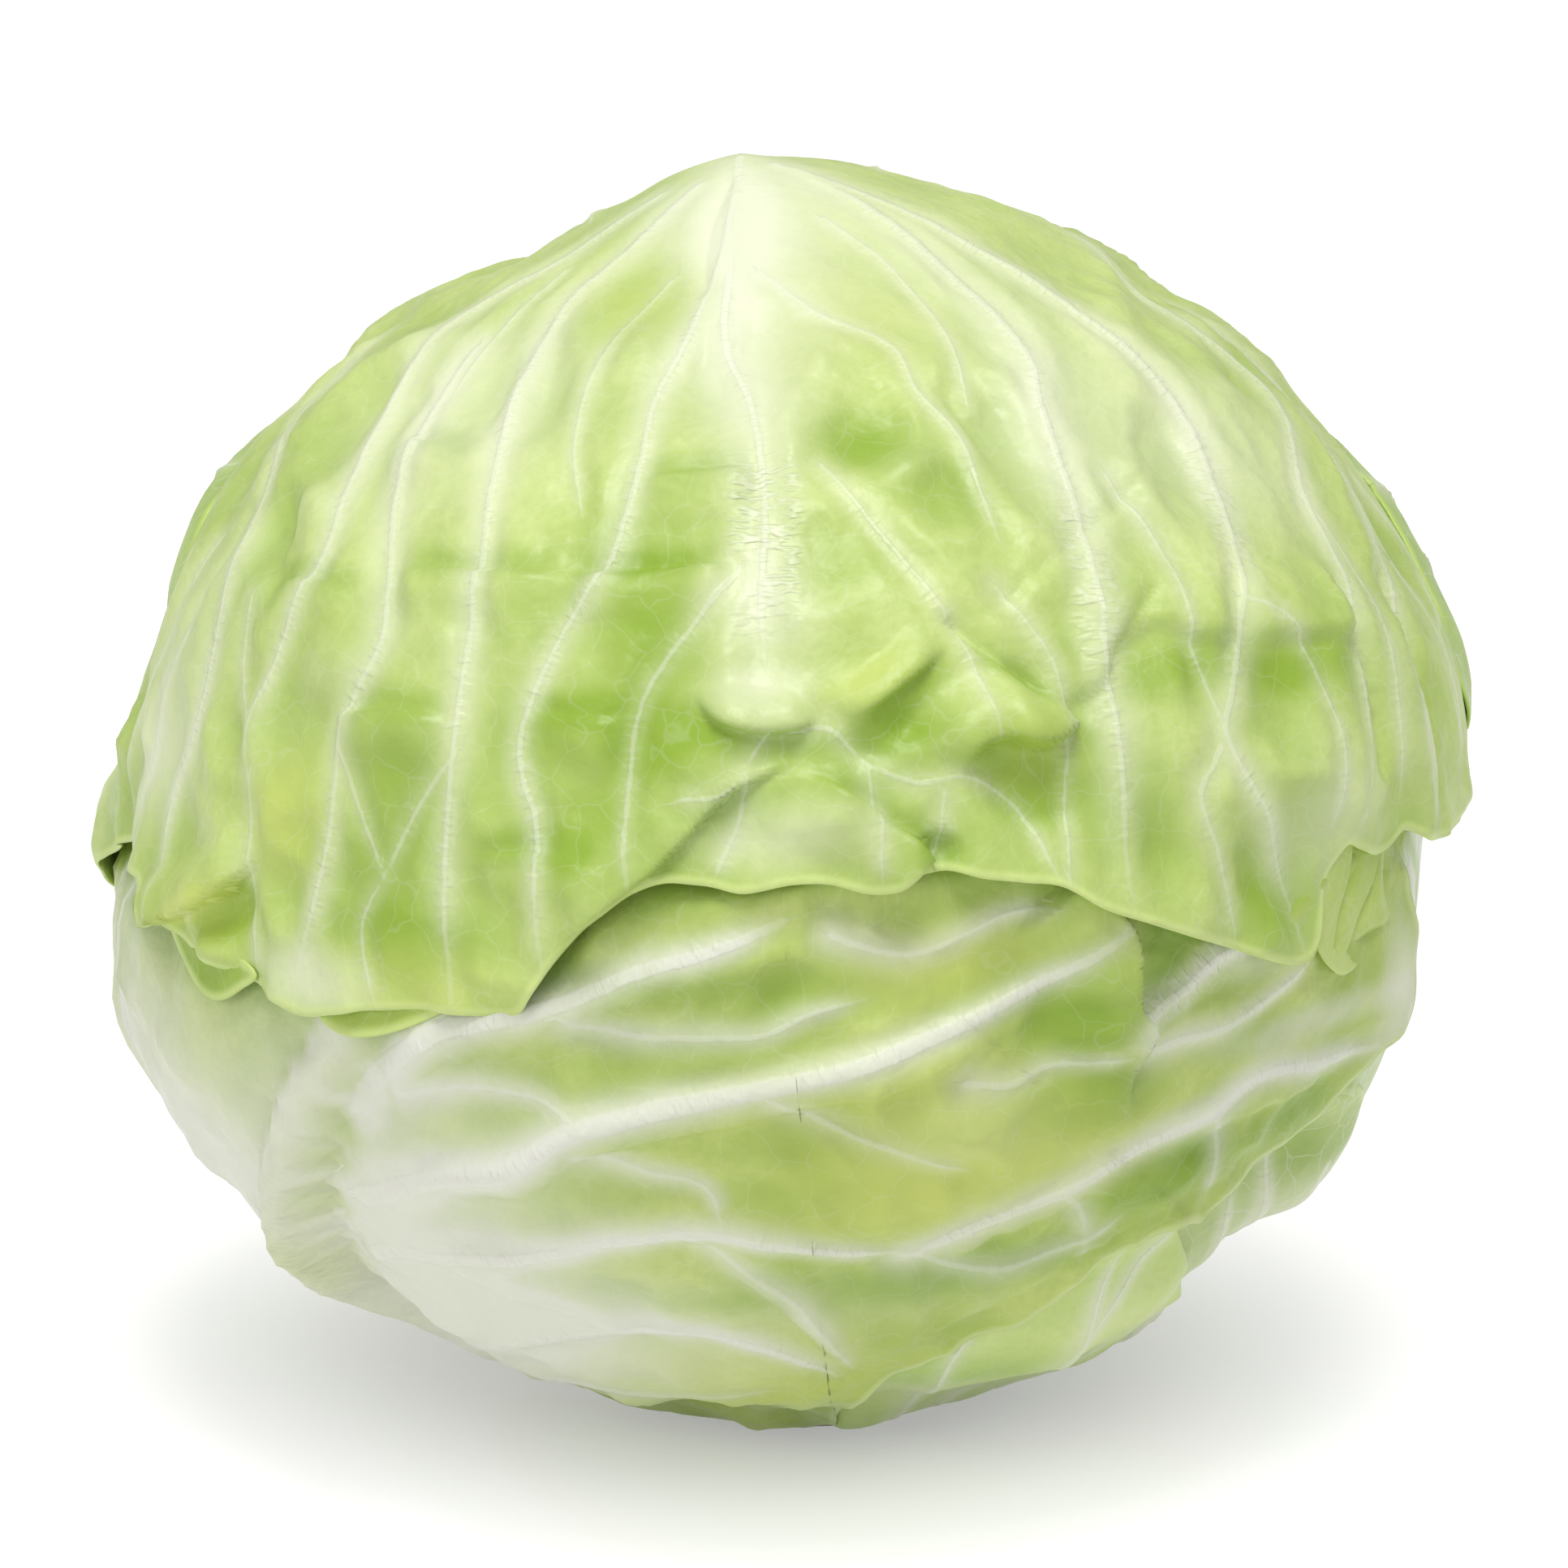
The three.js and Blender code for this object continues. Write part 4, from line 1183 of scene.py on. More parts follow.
for ledge, rise, reach, ramp in (
    ([(4, 87), (0, 88), (-6, 90), (-12, 91.5), (-18, 94), (-24, 95), (-28, 96.5), (-33, 99.5),
      (-37, 102.5)], 1.5, 8, 1.0),
    ([(24, 94), (16, 97), (8, 99.5), (-2, 101), (-12, 103), (-18, 104.5), (-24, 108), (-31, 110),
      (-39, 113.5)], 2.0, 9, 1.0),
    ([(-31, 115), (-24, 112.5), (-17, 110.5), (-8, 110.5), (0, 112.5), (8, 115)], 1.0, 8, 2.0),
    ([(4, 134), (1, 129), (-2, 124), (-5, 119), (-10, 114.5)], 1.8, 8, 1.0),
    ([(28, 113), (20, 116), (12, 119)], 1.2, 7, 1.0),
    ([(56, 110.5), (48, 109.5), (40, 110.5), (33, 112)], 1.2, 7, 1.0),
):
    front.step(ledge, rise, reach, ramp=ramp, ends=(0.3, 0.3))
front.step([(24, 84), (26.5, 87), (28.5, 90), (28.3, 93), (28.5, 96), (30, 98), (29.5, 100),
            (28.5, 103), (30, 107)], rise=4.2, reach=13, overhang=1.2, ramp=0.9, ends=(0.02, 0.4))
# The deep patch beside the pleat is painted shade under its lip.
for place, across, along, shades in (
    ((32, 94), 4, 9, {"deep_and_shade": 0.7}), ((-72, 106), 26, 26, {"pale": 0.8}),
    ((62, 104), 6, 12, {"pale": 0.7}), ((50, 103), 20, 3, {"pale": 0.5}),
):
    front.tint(place, across, along, **shades)
front.crease([(12, 131), (18, 127), (26, 122), (33, 118)], 0.9, 2.5, 5)
front.tuck([(-130, 96), (-110, 97), (-90, 92), (-66, 92), (-50, 93), (-24, 91), (-14, 84), (0, 81.5),
            (18, 82), (27, 86), (41, 92), (50, 89), (60, 88), (70, 88)], 2.2, blend=7)
front_valley = [(-54, 125), (-52.7, 121.5), (-50, 118), (-47.4, 113), (-44.6, 108.5),
                (-42, 104.5), (-39, 100.5), (-36.6, 96.5), (-34.8, 93)]
front.crease(front_valley, 4.5, 2.4, 8, ends=0.2)
front.swell((-42, 127), 15, 8, 2.8)
front.rib(front_midrib, (6, 7, 8, 8.4, 8.6, 8.4, 8.2, 8, 8, 8, 8, 8),
          (0.0, 0.8, 3.0, 5.2, 6.3, 6.3, 6.0, 5.4, 4.4, 2.8, 0.8, 0.0), pale=1.0, flat=0.6)
for place in front_midrib[2:]:
    front.tint(place, 4, 6, gold=0.3)
# Painted shade, in deeper and golden green, down the valley right of the rib and at its foot.
for place in front_valley[3:]:
    front.tint(place, 3, 5, deep_and_shade=0.5, gold=0.35)
front.tint((-53, 121), 7, 14, deep_and_shade=0.2, gold=0.5)
front.lift_edge((38, 120), 7, 6, 1.6)
front.lift_edge((62, 106), 9, 7, 1.4)
front.lift_edge((4, 139), 5, 4, 0.8)
front.ruffle(8, 0.7, 20, 84)
front_finish = leaf_material(
    "front_leaf_skin", green="#c9d97c", deep_and_shade="#90b03c", pale="#eceede", gold="#d0db72",
    rim="#d9e6a2", vein="#f2f2e8", net=0.08, roughness=(0.36, 0.5),
)
piece = leaf_piece("front_leaf_blade", [front], front_finish)
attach(piece, "root")
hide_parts("front_leaf")


# ---------------------------------------------------------------------------------------------
# Cap leaf: comes up the back on a thick midrib, folds over the tip, and hangs in lobes across
# the front. Its veins run down from the tip like the ribs of a pumpkin; its edge is free.
# ---------------------------------------------------------------------------------------------

cap = Blade(
    middle=(0, 0.01), depth=0.0, rows=196, columns=464, towards_front=2.6,
    outline=[
        (-79, 88), (-75.5, 87), (-72, 87.5), (-69, 87.7), (-66, 88), (-64, 88.8), (-62.3, 90.2),
        (-60, 90.6), (-57.5, 91.3), (-55.7, 92.3), (-53.8, 92), (-51, 92.4), (-48, 92.8), (-45, 93.3),
        (-41, 93.6), (-38, 93),
        (-35, 92.4), (-30, 92), (-24, 92), (-21.3, 91.7), (-20, 90), (-18.3, 87.4), (-16, 85.2),
        (-14, 83.7), (-11.5, 82), (-9, 81.2), (-6, 81.5), (-3, 82.2), (1, 81.8), (4, 82), (7, 83),
        (9, 83), (11, 82.2), (13.5, 82), (16, 82.8), (19, 83.5), (22, 84.3), (25, 86.5), (29, 88.5),
        (34, 91), (38, 93), (42, 95), (45.5, 96.2), (47.2, 95.8), (47.8, 93.5), (49, 90.5), (50.5, 88.8),
        (52, 88), (54, 89), (56, 90), (58, 90), (60, 89), (64, 91), (70, 92), (76, 92),
        (84, 91), (96, 94), (112, 104), (130, 118), (146, 136), (156, 154), (164, 167), (180, 169),
        (-164, 167), (-156, 154), (-148, 136), (-130, 118), (-112, 106), (-98, 97), (-86, 90.5),
    ],
)
cap.ripple(48, 0.8, 91)
cap.ripple(24, 0.5, 92)
cap.ripple(11, 0.12, 93)
cap.rise -= 0.5
cap.tint((0, 92), 190, 48, deep_and_shade=0.25)
cap_veins = (
    ([(0, 1), (-4, 20), (-4, 30), (0, 38), (1, 50), (0, 59), (0, 64)], (1.3, 0.6), 1.0, 7),
    ([(-5, 8), (-7, 18), (-12, 31), (-14, 36), (-14, 45), (-16, 56), (-19, 61), (-22, 70), (-21, 74),
      (-20, 76), (-19, 88)], (0.9, 0.5), 1.2, 3),
    ([(-40, 6), (-42, 16), (-45, 24), (-38, 36), (-32, 48), (-29, 58), (-28, 68), (-28, 80), (-27, 91)],
     (1.0, 0.5), 1.4, 3.5),
    ([(-66, 8), (-68, 21), (-70, 30), (-65, 36), (-59, 43), (-54, 50), (-50, 57), (-51, 67), (-52, 72),
      (-50, 76)], (1.0, 0.5), 1.5, 3.5),
    ([(-56, 32), (-52, 38), (-46, 49), (-40, 58), (-38, 63), (-40, 70), (-40, 80), (-43, 91)],
     (0.9, 0.5), 1.4, 3.5),
    ([(-92, 38), (-84, 47), (-76, 50), (-68, 57), (-62, 64), (-62, 75), (-64, 80), (-62, 89)],
     (0.9, 0.4), 1.4, 3),
    ([(52, 4), (52, 10), (48, 19), (46, 28), (44, 38), (40, 43), (35, 56), (32, 64), (30, 74), (28, 86)],
     (1.2, 0.5), 1.5, 5),
    ([(56, 6), (59, 16), (60, 32), (60, 48), (54, 58), (48, 66), (42, 73), (40, 76), (43, 85), (46, 95)],
     (1.1, 0.5), 1.5, 4),
    ([(109, 22), (109, 30), (86, 40), (79, 53), (68, 61), (64, 68), (60, 73), (55, 84)],
     (1.0, 0.5), 1.5, 3.5),
    ([(100, 44), (90, 52), (82, 60), (77, 66), (72, 72), (66, 82), (66, 90)], (0.8, 0.4), 1.4, 3),
)
cap.wrinkle(cap_veins[0][0], 0.9, 8, zone=(0.66, 1.0))
cap.wrinkle(cap_veins[6][0], 0.6, 5, zone=(0.55, 0.85))
cap.wrinkle(cap_veins[7][0], 0.6, 5, zone=(0.45, 0.7))
for path, half, tent, halo in cap_veins:
    cap.vein(path, half=(half[0] * 0.5, half[1] * 0.6), rise=0.2, tent=0.55 * tent, spread=7,
             halo=1.25 * halo, pale=0.5, line=0.32, pucker=0.4)
for path, half in (
    ([(-2, 56), (-6, 60), (-11, 67), (-12, 74), (-12, 81)], (0.6, 0.4)),
    ([(8, 46), (13, 54), (18, 64), (19, 72)], (0.5, 0.3)),
    ([(4, 20), (14, 27), (24, 33), (24, 39), (26, 44), (25, 56)], (0.7, 0.3)),
    ([(40, 76), (38, 78), (36, 80), (37, 86), (38, 92)], (0.6, 0.3)),
    ([(2, 70), (5, 70), (8, 73), (12, 75), (16, 75), (20, 78), (22, 84)], (0.5, 0.35)),
    ([(8, 73), (8, 78), (8, 82)], (0.35, 0.25)),
    ([(0, 70), (-4, 74), (-8, 75)], (0.35, 0.25)),
    ([(-2, 73), (-3, 77), (-5, 81)], (0.5, 0.3)),
    ([(14, 76), (13, 80), (12, 82)], (0.35, 0.25)),
    ([(-28, 72), (-31, 76), (-34, 82), (-36, 86), (-34, 92)], (0.5, 0.3)),
    ([(-40, 72), (-37, 77), (-34, 82)], (0.4, 0.3)),
    ([(-50, 76), (-49, 84), (-48, 92)], (0.5, 0.3)),
    ([(-58, 62), (-56, 68), (-52, 72)], (0.4, 0.3)),
    ([(-72, 56), (-70, 66), (-70, 76), (-72, 88)], (0.6, 0.3)),
    ([(-80, 60), (-79, 72), (-80, 84)], (0.6, 0.3)),
    ([(-20, 20), (-26, 30), (-24, 42), (-20, 50)], (0.5, 0.25)),
    ([(-60, 20), (-56, 28), (-50, 38)], (0.5, 0.3)),
    ([(32, 14), (36, 24), (34, 34), (30, 42)], (0.5, 0.25)),
    ([(48, 66), (52, 70), (52, 78), (50, 86)], (0.5, 0.3)),
    ([(42, 52), (42, 60), (40, 68), (40, 76)], (0.4, 0.3)),
    ([(68, 61), (66, 70), (62, 78), (60, 86)], (0.5, 0.3)),
    ([(78, 66), (78, 76), (76, 88)], (0.6, 0.3)),
    ([(86, 60), (88, 72), (86, 84)], (0.6, 0.3)),
    ([(23, 60), (26, 68), (24, 80), (22, 86)], (0.4, 0.25)),
):
    cap.vein(path, half=(half[0] * 0.6, half[1] * 0.7), rise=0.15, tent=0.4, spread=5, halo=2.6, pale=0.3,
             line=0.28, layer=1, pucker=0.2)
cap_midrib = [(178, 161), (181, 130), (179, 95), (181, 62), (182, 34), (180, 12)]
for branch in branch_paths(cap_midrib, (0.04, 0.14, 0.24, 0.34, 0.44, 0.55, 0.66, 0.78), 34, 105, 5):
    cap.vein(branch, half=(0.6, 0.3), rise=0.4, tent=1.0, spread=7, halo=3.0, pale=0.6)
cap.crumple(32, 2.0, 95)
cap.crumple(15, 0.7, 96)
cap.crumple(8, 0.2, 97)
for fold, rise in (
    ([(-14, 46.5), (-7, 46), (1, 46)], 1.3), ([(-40, 56.5), (-29, 56), (-20, 56)], 1.8),
    ([(-20, 56), (-12, 55.5), (-2, 55)], 2.2), ([(-42, 69.5), (-34, 68.5), (-28, 69)], 1.7),
    ([(-22, 68), (-12, 68.5)], 1.0), ([(-56, 60), (-48, 59), (-42, 60)], 1.1),
    ([(-26, 80), (-20, 79), (-14, 80)], 1.0), ([(-52, 44), (-44, 44), (-36, 46)], 0.9),
):
    cap.step(fold, rise=rise, reach=9, ramp=0.5, ends=(0.2, 0.2), shade=0.5)
cap.crease([(24, 72), (30, 70), (34, 66), (40, 62)], 1.4, 2, 7)
cap.step([(46, 69), (41, 68), (37, 66), (32, 67.5)], rise=2.2, reach=13, ramp=1.6)
cap.step([(62, 73), (54, 71), (46, 69)], rise=2.2, reach=13, ramp=1.6)
cap.crease([(48, 52), (44, 54), (34, 57), (26, 60), (20, 63)], 1.2, 3, 7)
cap.step([(5, 68.6), (3, 69.6), (0, 69.8), (-3, 69.2), (-5, 68), (-6.5, 66)], rise=2.8, reach=6.5,
         overhang=0.8, ends=(0.25, 0.3), shade=0.5)
cap.step([(17, 64), (14, 65.8), (11, 67.4), (8.5, 68.8), (6.5, 70)], rise=2.4, reach=5.5,
         overhang=0.8, ends=(0.35, 0.3), shade=0.6)
cap.swell((0, 72), 9, 2.4, -1.2)
cap.swell((10, 71), 8, 3, -1.8, turn=-20)
cap.step([(28, 71.5), (24, 73.4), (22, 73.2), (20, 72.4), (17.5, 72.8), (15, 75)], rise=4.2, reach=10,
         overhang=0.8, ramp=1.0, ends=(0.15, 0.25), shade=0.5)
cap.swell((21, 76.3), 5, 5, -3.2)
cap.swell((24, 78), 5, 4, -1.4)
cap.crease([(16, 61.5), (18, 63), (20, 65), (22, 67), (24.5, 69.7), (28, 72.5)], 3.0, 5, 2.0)
# Painted shade, as deeper green, in the hollows under the bumps and along the fold.
for place, across, along, shades in (
    ((22, 67.5), 8, 2, {"deep_and_shade": 0.6, "turn": 38}), ((22, 77), 6, 5, {"deep_and_shade": 0.7}),
    ((1, 70.5), 8, 2.4, {"deep_and_shade": 0.5}), ((10, 71), 6, 3, {"deep_and_shade": 0.6}),
):
    cap.tint(place, across, along, **shades)
for place, across, along, rise in (
    ((15, 44), 9, 6, -2.2), ((20, 50), 8, 7, -2.4), ((18, 47), 4, 4, 1.5), ((7, 55), 8, 6, -1.4),
    ((-2, 48), 10, 7, -0.9), ((-62, 55), 7, 6, -2.0), ((-58, 53), 5, 4, 1.0),
    ((-47, 74), 8, 9, 1.5), ((-44, 66), 7, 5, 1.2), ((-34, 62), 14, 8, 0.8),
    ((50, 82), 10, 10, 1.6), ((45, 88), 12, 8, -1.4), ((36, 80), 8, 8, 0.8), ((64, 80), 6, 18, 2.4),
):
    cap.swell(place, across, along, rise)
cap.crease([(62, 66), (60, 76), (57, 86)], 1.8, 3, 3)
cap.crease([(72, 68), (69, 80), (67, 90)], 1.6, 3, 3)
cap.step([(3, 72), (0, 73), (-3, 74), (-5.5, 76), (-7.5, 78), (-10, 80.2), (-13, 82.4),
          (-16, 84.8), (-18.5, 88), (-20.5, 92)], rise=3.0, reach=14, overhang=1.0,
         ends=(0.18, 0.3), shade=0.3)
cap.step([(2, 73), (4, 74), (7, 76), (9, 78), (11, 79.5), (12.5, 81.5)], rise=3.4, reach=10,
         overhang=1.0, ends=(0.35, 0.05), shade=0.4)
cap.swell((13, 80.5), 3, 2.4, -2.5)
# Painted shade in the hole.
cap.tint((12.6, 80.3), 3, 2.4, deep_and_shade=0.9)
cap.step([(-47, 80), (-48.5, 82.4), (-50.5, 84.3), (-53.5, 86.2), (-57, 88), (-61, 89.6), (-65, 91.5)],
         rise=3.0, reach=8, overhang=1.4, ramp=0.8, ends=(0.35, 0.0), shade=0.3)
cap.swell((-52, 87.4), 6, 3.5, -2.6, turn=-32)
cap.swell((-53.5, 91), 3.5, 2.2, 1.6)
# Painted shade in the hollow under the corner fold, and a painted highlight, as a golden streak, along
# its crest.
cap.tint((-52, 87.4), 7, 4, deep_and_shade=0.8, turn=-32)
cap.tint((-56, 87.2), 13, 1.8, gold=1.0, turn=-30)
cap.crease([(-5, 3), (-14, 10), (-12, 18), (-9, 24)], 1.0, 3, 4)
# Patches of paler, deeper or golden green: the leaf's own colour, but many deep ones are painted shade,
# in dents and on facets that turn from the light.
for place, across, along, shades in (
    ((0, 26), 15, 30, {"pale": 0.5}), ((-46, 38), 26, 24, {"pale": 0.4}),
    ((-66, 52), 10, 12, {"deep_and_shade": 0.3}), ((-70, 78), 14, 10, {"pale": 0.4}),
    ((30, 26), 22, 18, {"pale": 0.3}), ((46, 46), 26, 24, {"pale": 0.4}),
    ((64, 56), 16, 18, {"pale": 0.3}), ((-1, 66.5), 8, 4, {"pale": 0.5}),
    ((9, 66), 7, 3, {"gold": 0.5, "turn": -25}), ((2, 10), 16, 16, {"pale": 0.5}),
    ((0, 60), 9, 12, {"pale": 0.4}), ((-22, 24), 10, 10, {"deep_and_shade": 0.45, "gold": 0.4}),
    ((-14, 55), 10, 12, {"deep_and_shade": 0.3}), ((-11, 68), 11, 9, {"deep_and_shade": 0.8}),
    ((-10, 61), 8, 6, {"deep_and_shade": 0.8}), ((-8, 71), 9, 6, {"deep_and_shade": 0.4}),
    ((0, 78), 12, 5, {"pale": 0.45}), ((-60, 62), 12, 8, {"deep_and_shade": 0.3}),
    ((-34, 82), 10, 8, {"deep_and_shade": 0.4}), ((-16, 77), 11, 9, {"deep_and_shade": 0.6}),
    ((-31, 87), 13, 6, {"deep_and_shade": 0.9}), ((-22, 60), 8, 6, {"deep_and_shade": 0.35}),
    ((-20, 70), 8, 6, {"deep_and_shade": 0.5}), ((-34, 72), 9, 7, {"deep_and_shade": 0.35}),
    ((-70, 66), 12, 14, {"deep_and_shade": 0.3}), ((30, 80), 8, 10, {"deep_and_shade": 0.4}),
    ((38, 70), 14, 4, {"deep_and_shade": 0.5}), ((52, 73), 12, 4, {"deep_and_shade": 0.5}),
    ((-3, 76), 9, 4, {"deep_and_shade": 0.5}), ((-32, 76), 12, 12, {"deep_and_shade": 0.4}),
    ((-45, 78), 9, 10, {"deep_and_shade": 0.55, "gold": 0.7}), ((-41, 91), 12, 5, {"pale": 0.7}),
    ((-55, 88), 12, 8, {"deep_and_shade": 0.3, "gold": 0.4}), ((-30, 90), 16, 6, {"gold": 0.5}),
    ((14, 44), 10, 7, {"deep_and_shade": 0.5}), ((21, 50), 9, 8, {"deep_and_shade": 0.5}),
    ((7, 56), 9, 8, {"deep_and_shade": 0.35}), ((24, 30), 20, 16, {"gold": 0.4}),
    ((10, 72), 14, 6, {"deep_and_shade": 0.3}), ((22, 74), 9, 7, {"deep_and_shade": 0.5, "gold": 0.3}),
    ((42, 70), 16, 9, {"deep_and_shade": 0.35}), ((54, 74), 10, 9, {"deep_and_shade": 0.35}),
    ((43, 92), 8, 7, {"deep_and_shade": 0.6}), ((50, 86), 12, 8, {"pale": 0.3}),
    ((62, 70), 12, 12, {"deep_and_shade": 0.25}), ((78, 62), 14, 24, {"deep_and_shade": 0.2}),
    ((-70, 70), 20, 24, {"pale": 0.35}),
):
    cap.tint(place, across, along, **shades)
cap.lift_edge((-62, 90), 10, 6, 0.3)
cap.lift_edge((-28, 92), 18, 8, 1.2)
cap.lift_edge((0, 82), 14, 8, 1.0)
cap.lift_edge((26, 86), 22, 10, 2.6)
cap.lift_edge((46, 95), 12, 9, 2.2)
cap.lift_edge((70, 92), 18, 8, 0.3)
cap.ruffle(9, 0.8, 26, 94)
for covered in (
    [(-110, 110), (-107, 92), (-100, 80), (-93, 72), (-88, 66), (-93, 59), (-102, 54), (-116, 53),
     (-134, 59), (-150, 75), (-160, 96), (-163, 122), (-162, 164), (-144, 167), (-116, 160),
     (-110, 128), (-110, 110)],
    [(162, 125), (158, 98), (148, 78), (133, 66), (115, 61), (101, 62), (94, 68), (86, 77), (83, 84),
     (88, 89), (96, 92), (103, 98), (108, 110), (110, 124), (115, 156), (124, 166), (158, 165),
     (162, 125)],
):
    cap.tuck(covered, 0.5, blend=4, calm=14)
cap.rib(cap_midrib, (22, 17, 12, 8, 6, 4), (3.6, 3.0, 2.2, 1.4, 0.9, 0.4))

corner_flap = Blade(
    middle=(-55, 92), depth=0.9, rows=24, columns=96,
    outline=[(-61.6, 90.2), (-60.2, 91.4), (-58.6, 92.6), (-57, 93.6), (-55.4, 94.4), (-53.6, 94.8),
             (-52, 94.5), (-50, 93.4), (-48, 92), (-52, 90.4), (-58, 89.4)],
)
corner_flap.lift_edge((-55, 94.6), 5, 4, 0.4)
corner_flap.flesh[:] = (1.0, 0.0, 0.1)
curl_flap = Blade(
    middle=(53, 94), depth=0.6, rows=40, columns=128,
    outline=[(50, 87), (48.6, 90), (47.8, 93), (48.4, 96), (50, 98), (52, 99.2), (55, 99), (58, 97.4),
             (61, 95), (64, 91), (64, 87), (57, 86)],
)
curl_flap.crease([(54, 87), (53, 91), (51.5, 94), (51, 97)], 1.0, 2.4, 1.2, ends=0.05)
curl_flap.crease([(58, 88), (57, 92), (54.5, 95), (53, 98)], 0.8, 2.4, 1.2, ends=0.05)
curl_flap.swell((62, 93), 6, 9, -3.2)
curl_flap.swell((57, 98), 6, 2.5, -2.0)
curl_flap.lift_edge((50, 98.6), 6, 3, 0.8)
curl_flap.flesh[:] = (0.35, 0.0, 0.2)
curl_flap.tint((55, 90), 8, 6, deep_and_shade=0.4)
curl_flap.edge += 0.7
lip_flap = Blade(
    middle=(-35.5, 92.5), depth=0.4, rows=24, columns=96,
    outline=[(-40.5, 92.8), (-40, 93.9), (-38.8, 94.5), (-37, 94.8), (-35, 94.6), (-32.5, 94),
             (-29.5, 92.8), (-27, 91.2), (-30, 90.3), (-36, 90), (-39.5, 90.8)],
)
lip_flap.lift_edge((-36, 94.8), 9, 4, 1.0)
lip_flap.flesh[:] = (0.8, 0.0, 0.3)
cap_finish = leaf_material(
    "cap_leaf_skin", green="#d2e38e", deep_and_shade="#98b840", pale="#eff4d4", gold="#d6e478",
    rim="#dcec98", vein="#f0f3e0", net=0.1, roughness=(0.34, 0.48),
)
piece = leaf_piece("cap_leaf_blade", [cap, corner_flap, lip_flap, curl_flap], cap_finish)
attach(piece, "root")
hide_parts("cap_leaf")


# ---------------------------------------------------------------------------------------------
# Rear leaves: the two outermost leaves left on, greener and coarser, one on each side of the
# cap leaf's midrib. Their edges are pressed in, the right one's front edge curls outwards, and
# both show at the sides of the head.
# ---------------------------------------------------------------------------------------------

rear_finish = leaf_material(
    "rear_leaf_skin", green="#bdd57c", deep_and_shade="#86a941", pale="#e3ebc6", gold="#cfe07c",
    rim="#c9e274", vein="#e9efd3",
)
left_rear = Blade(
    middle=(-132, 86), depth=-1.0, rows=100, columns=304,
    outline=[
        (-98, 54), (-116, 53), (-134, 60), (-150, 75), (-160, 96), (-163, 122), (-162, 146),
        (-162, 164), (-144, 168), (-126, 167), (-116, 160), (-112, 146), (-110, 128), (-110, 110),
        (-106, 92), (-99, 80), (-92, 73), (-87, 69), (-87, 64), (-91, 58),
    ],
)
left_rear_midrib = [(-138, 163), (-132, 130), (-126, 100), (-120, 76), (-116, 62)]
right_rear = Blade(
    middle=(134, 82), depth=-1.0, rows=100, columns=304,
    outline=[
        (96, 70), (90, 76), (86, 80), (84, 84), (86, 88), (93, 90), (102, 98), (108, 110),
        (110, 124), (112, 140), (115, 156), (124, 167), (140, 168), (158, 165), (161, 148),
        (162, 125), (158, 98), (148, 78), (133, 66), (115, 61), (101, 63),
    ],
)
right_rear_midrib = [(135, 163), (130, 130), (124, 102), (117, 80), (112, 68)]
for name, blade, midrib, seed in (
    ("left_rear_leaf", left_rear, left_rear_midrib, 101),
    ("right_rear_leaf", right_rear, right_rear_midrib, 111),
):
    blade.ripple(42, 0.5, seed)
    blade.ripple(20, 0.3, seed + 1)
    for branch in branch_paths(midrib, (0.04, 0.16, 0.28, 0.42, 0.56, 0.72, 0.86), 42, 70, 6):
        blade.vein(branch, half=(0.6, 0.3), rise=0.4, tent=1.2, spread=7, halo=3, pale=0.6)
    blade.crumple(26, 0.9, seed + 4)
    blade.rib(midrib, (22, 15, 8, 4, 1), (4.2, 3.0, 1.5, 0.6, 0.1))
    blade.tint((midrib[1][0], 150), 40, 30, pale=0.7)
    blade.rise -= 1.6 * np.clip(1 - blade.edge / 7, 0, 1) ** 1.5
    blade.ruffle(8, 0.15, 24, seed + 3)
right_rear.lift_edge((85, 84), 8, 6, 2.0)
for name, blade in (("left_rear_leaf", left_rear), ("right_rear_leaf", right_rear)):
    piece = leaf_piece(name + "_blade", [blade], rear_finish)
    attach(piece, "root")
    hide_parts(name)


# ---------------------------------------------------------------------------------------------
# Floor, lights and camera: a white sweep under a large soft box, upper left, with the sky of a
# white studio all round. The camera looks slightly down on the front.
# ---------------------------------------------------------------------------------------------

FLOOR_SIZE = 12.0
FLOOR_DROP = 0.0004  # the floor lies this far below the cut face, so that they don't coincide
SKY_LIGHT = 0.46  # what the white studio gives; the camera sees it as plain white
# Under the head the floor is lifted less, which paints an oval shadow over the real one.
LIFT_UNDER = 0.35  # how far the floor is lifted to white under the head, and clear of it
LIFT_CLEAR = 0.7
SHADOW_CORE = 0.35  # the share of the shadow's size where the lift stays low
SHADOW_SIZE = (115 * MM, 90 * MM)
SHADOW_SCALE = (1 / SHADOW_SIZE[0], 1 / SHADOW_SIZE[1], 1.0)
SHADOW_SHIFT = (8 * MM * SHADOW_SCALE[0], -22 * MM * SHADOW_SCALE[1], 0.0)


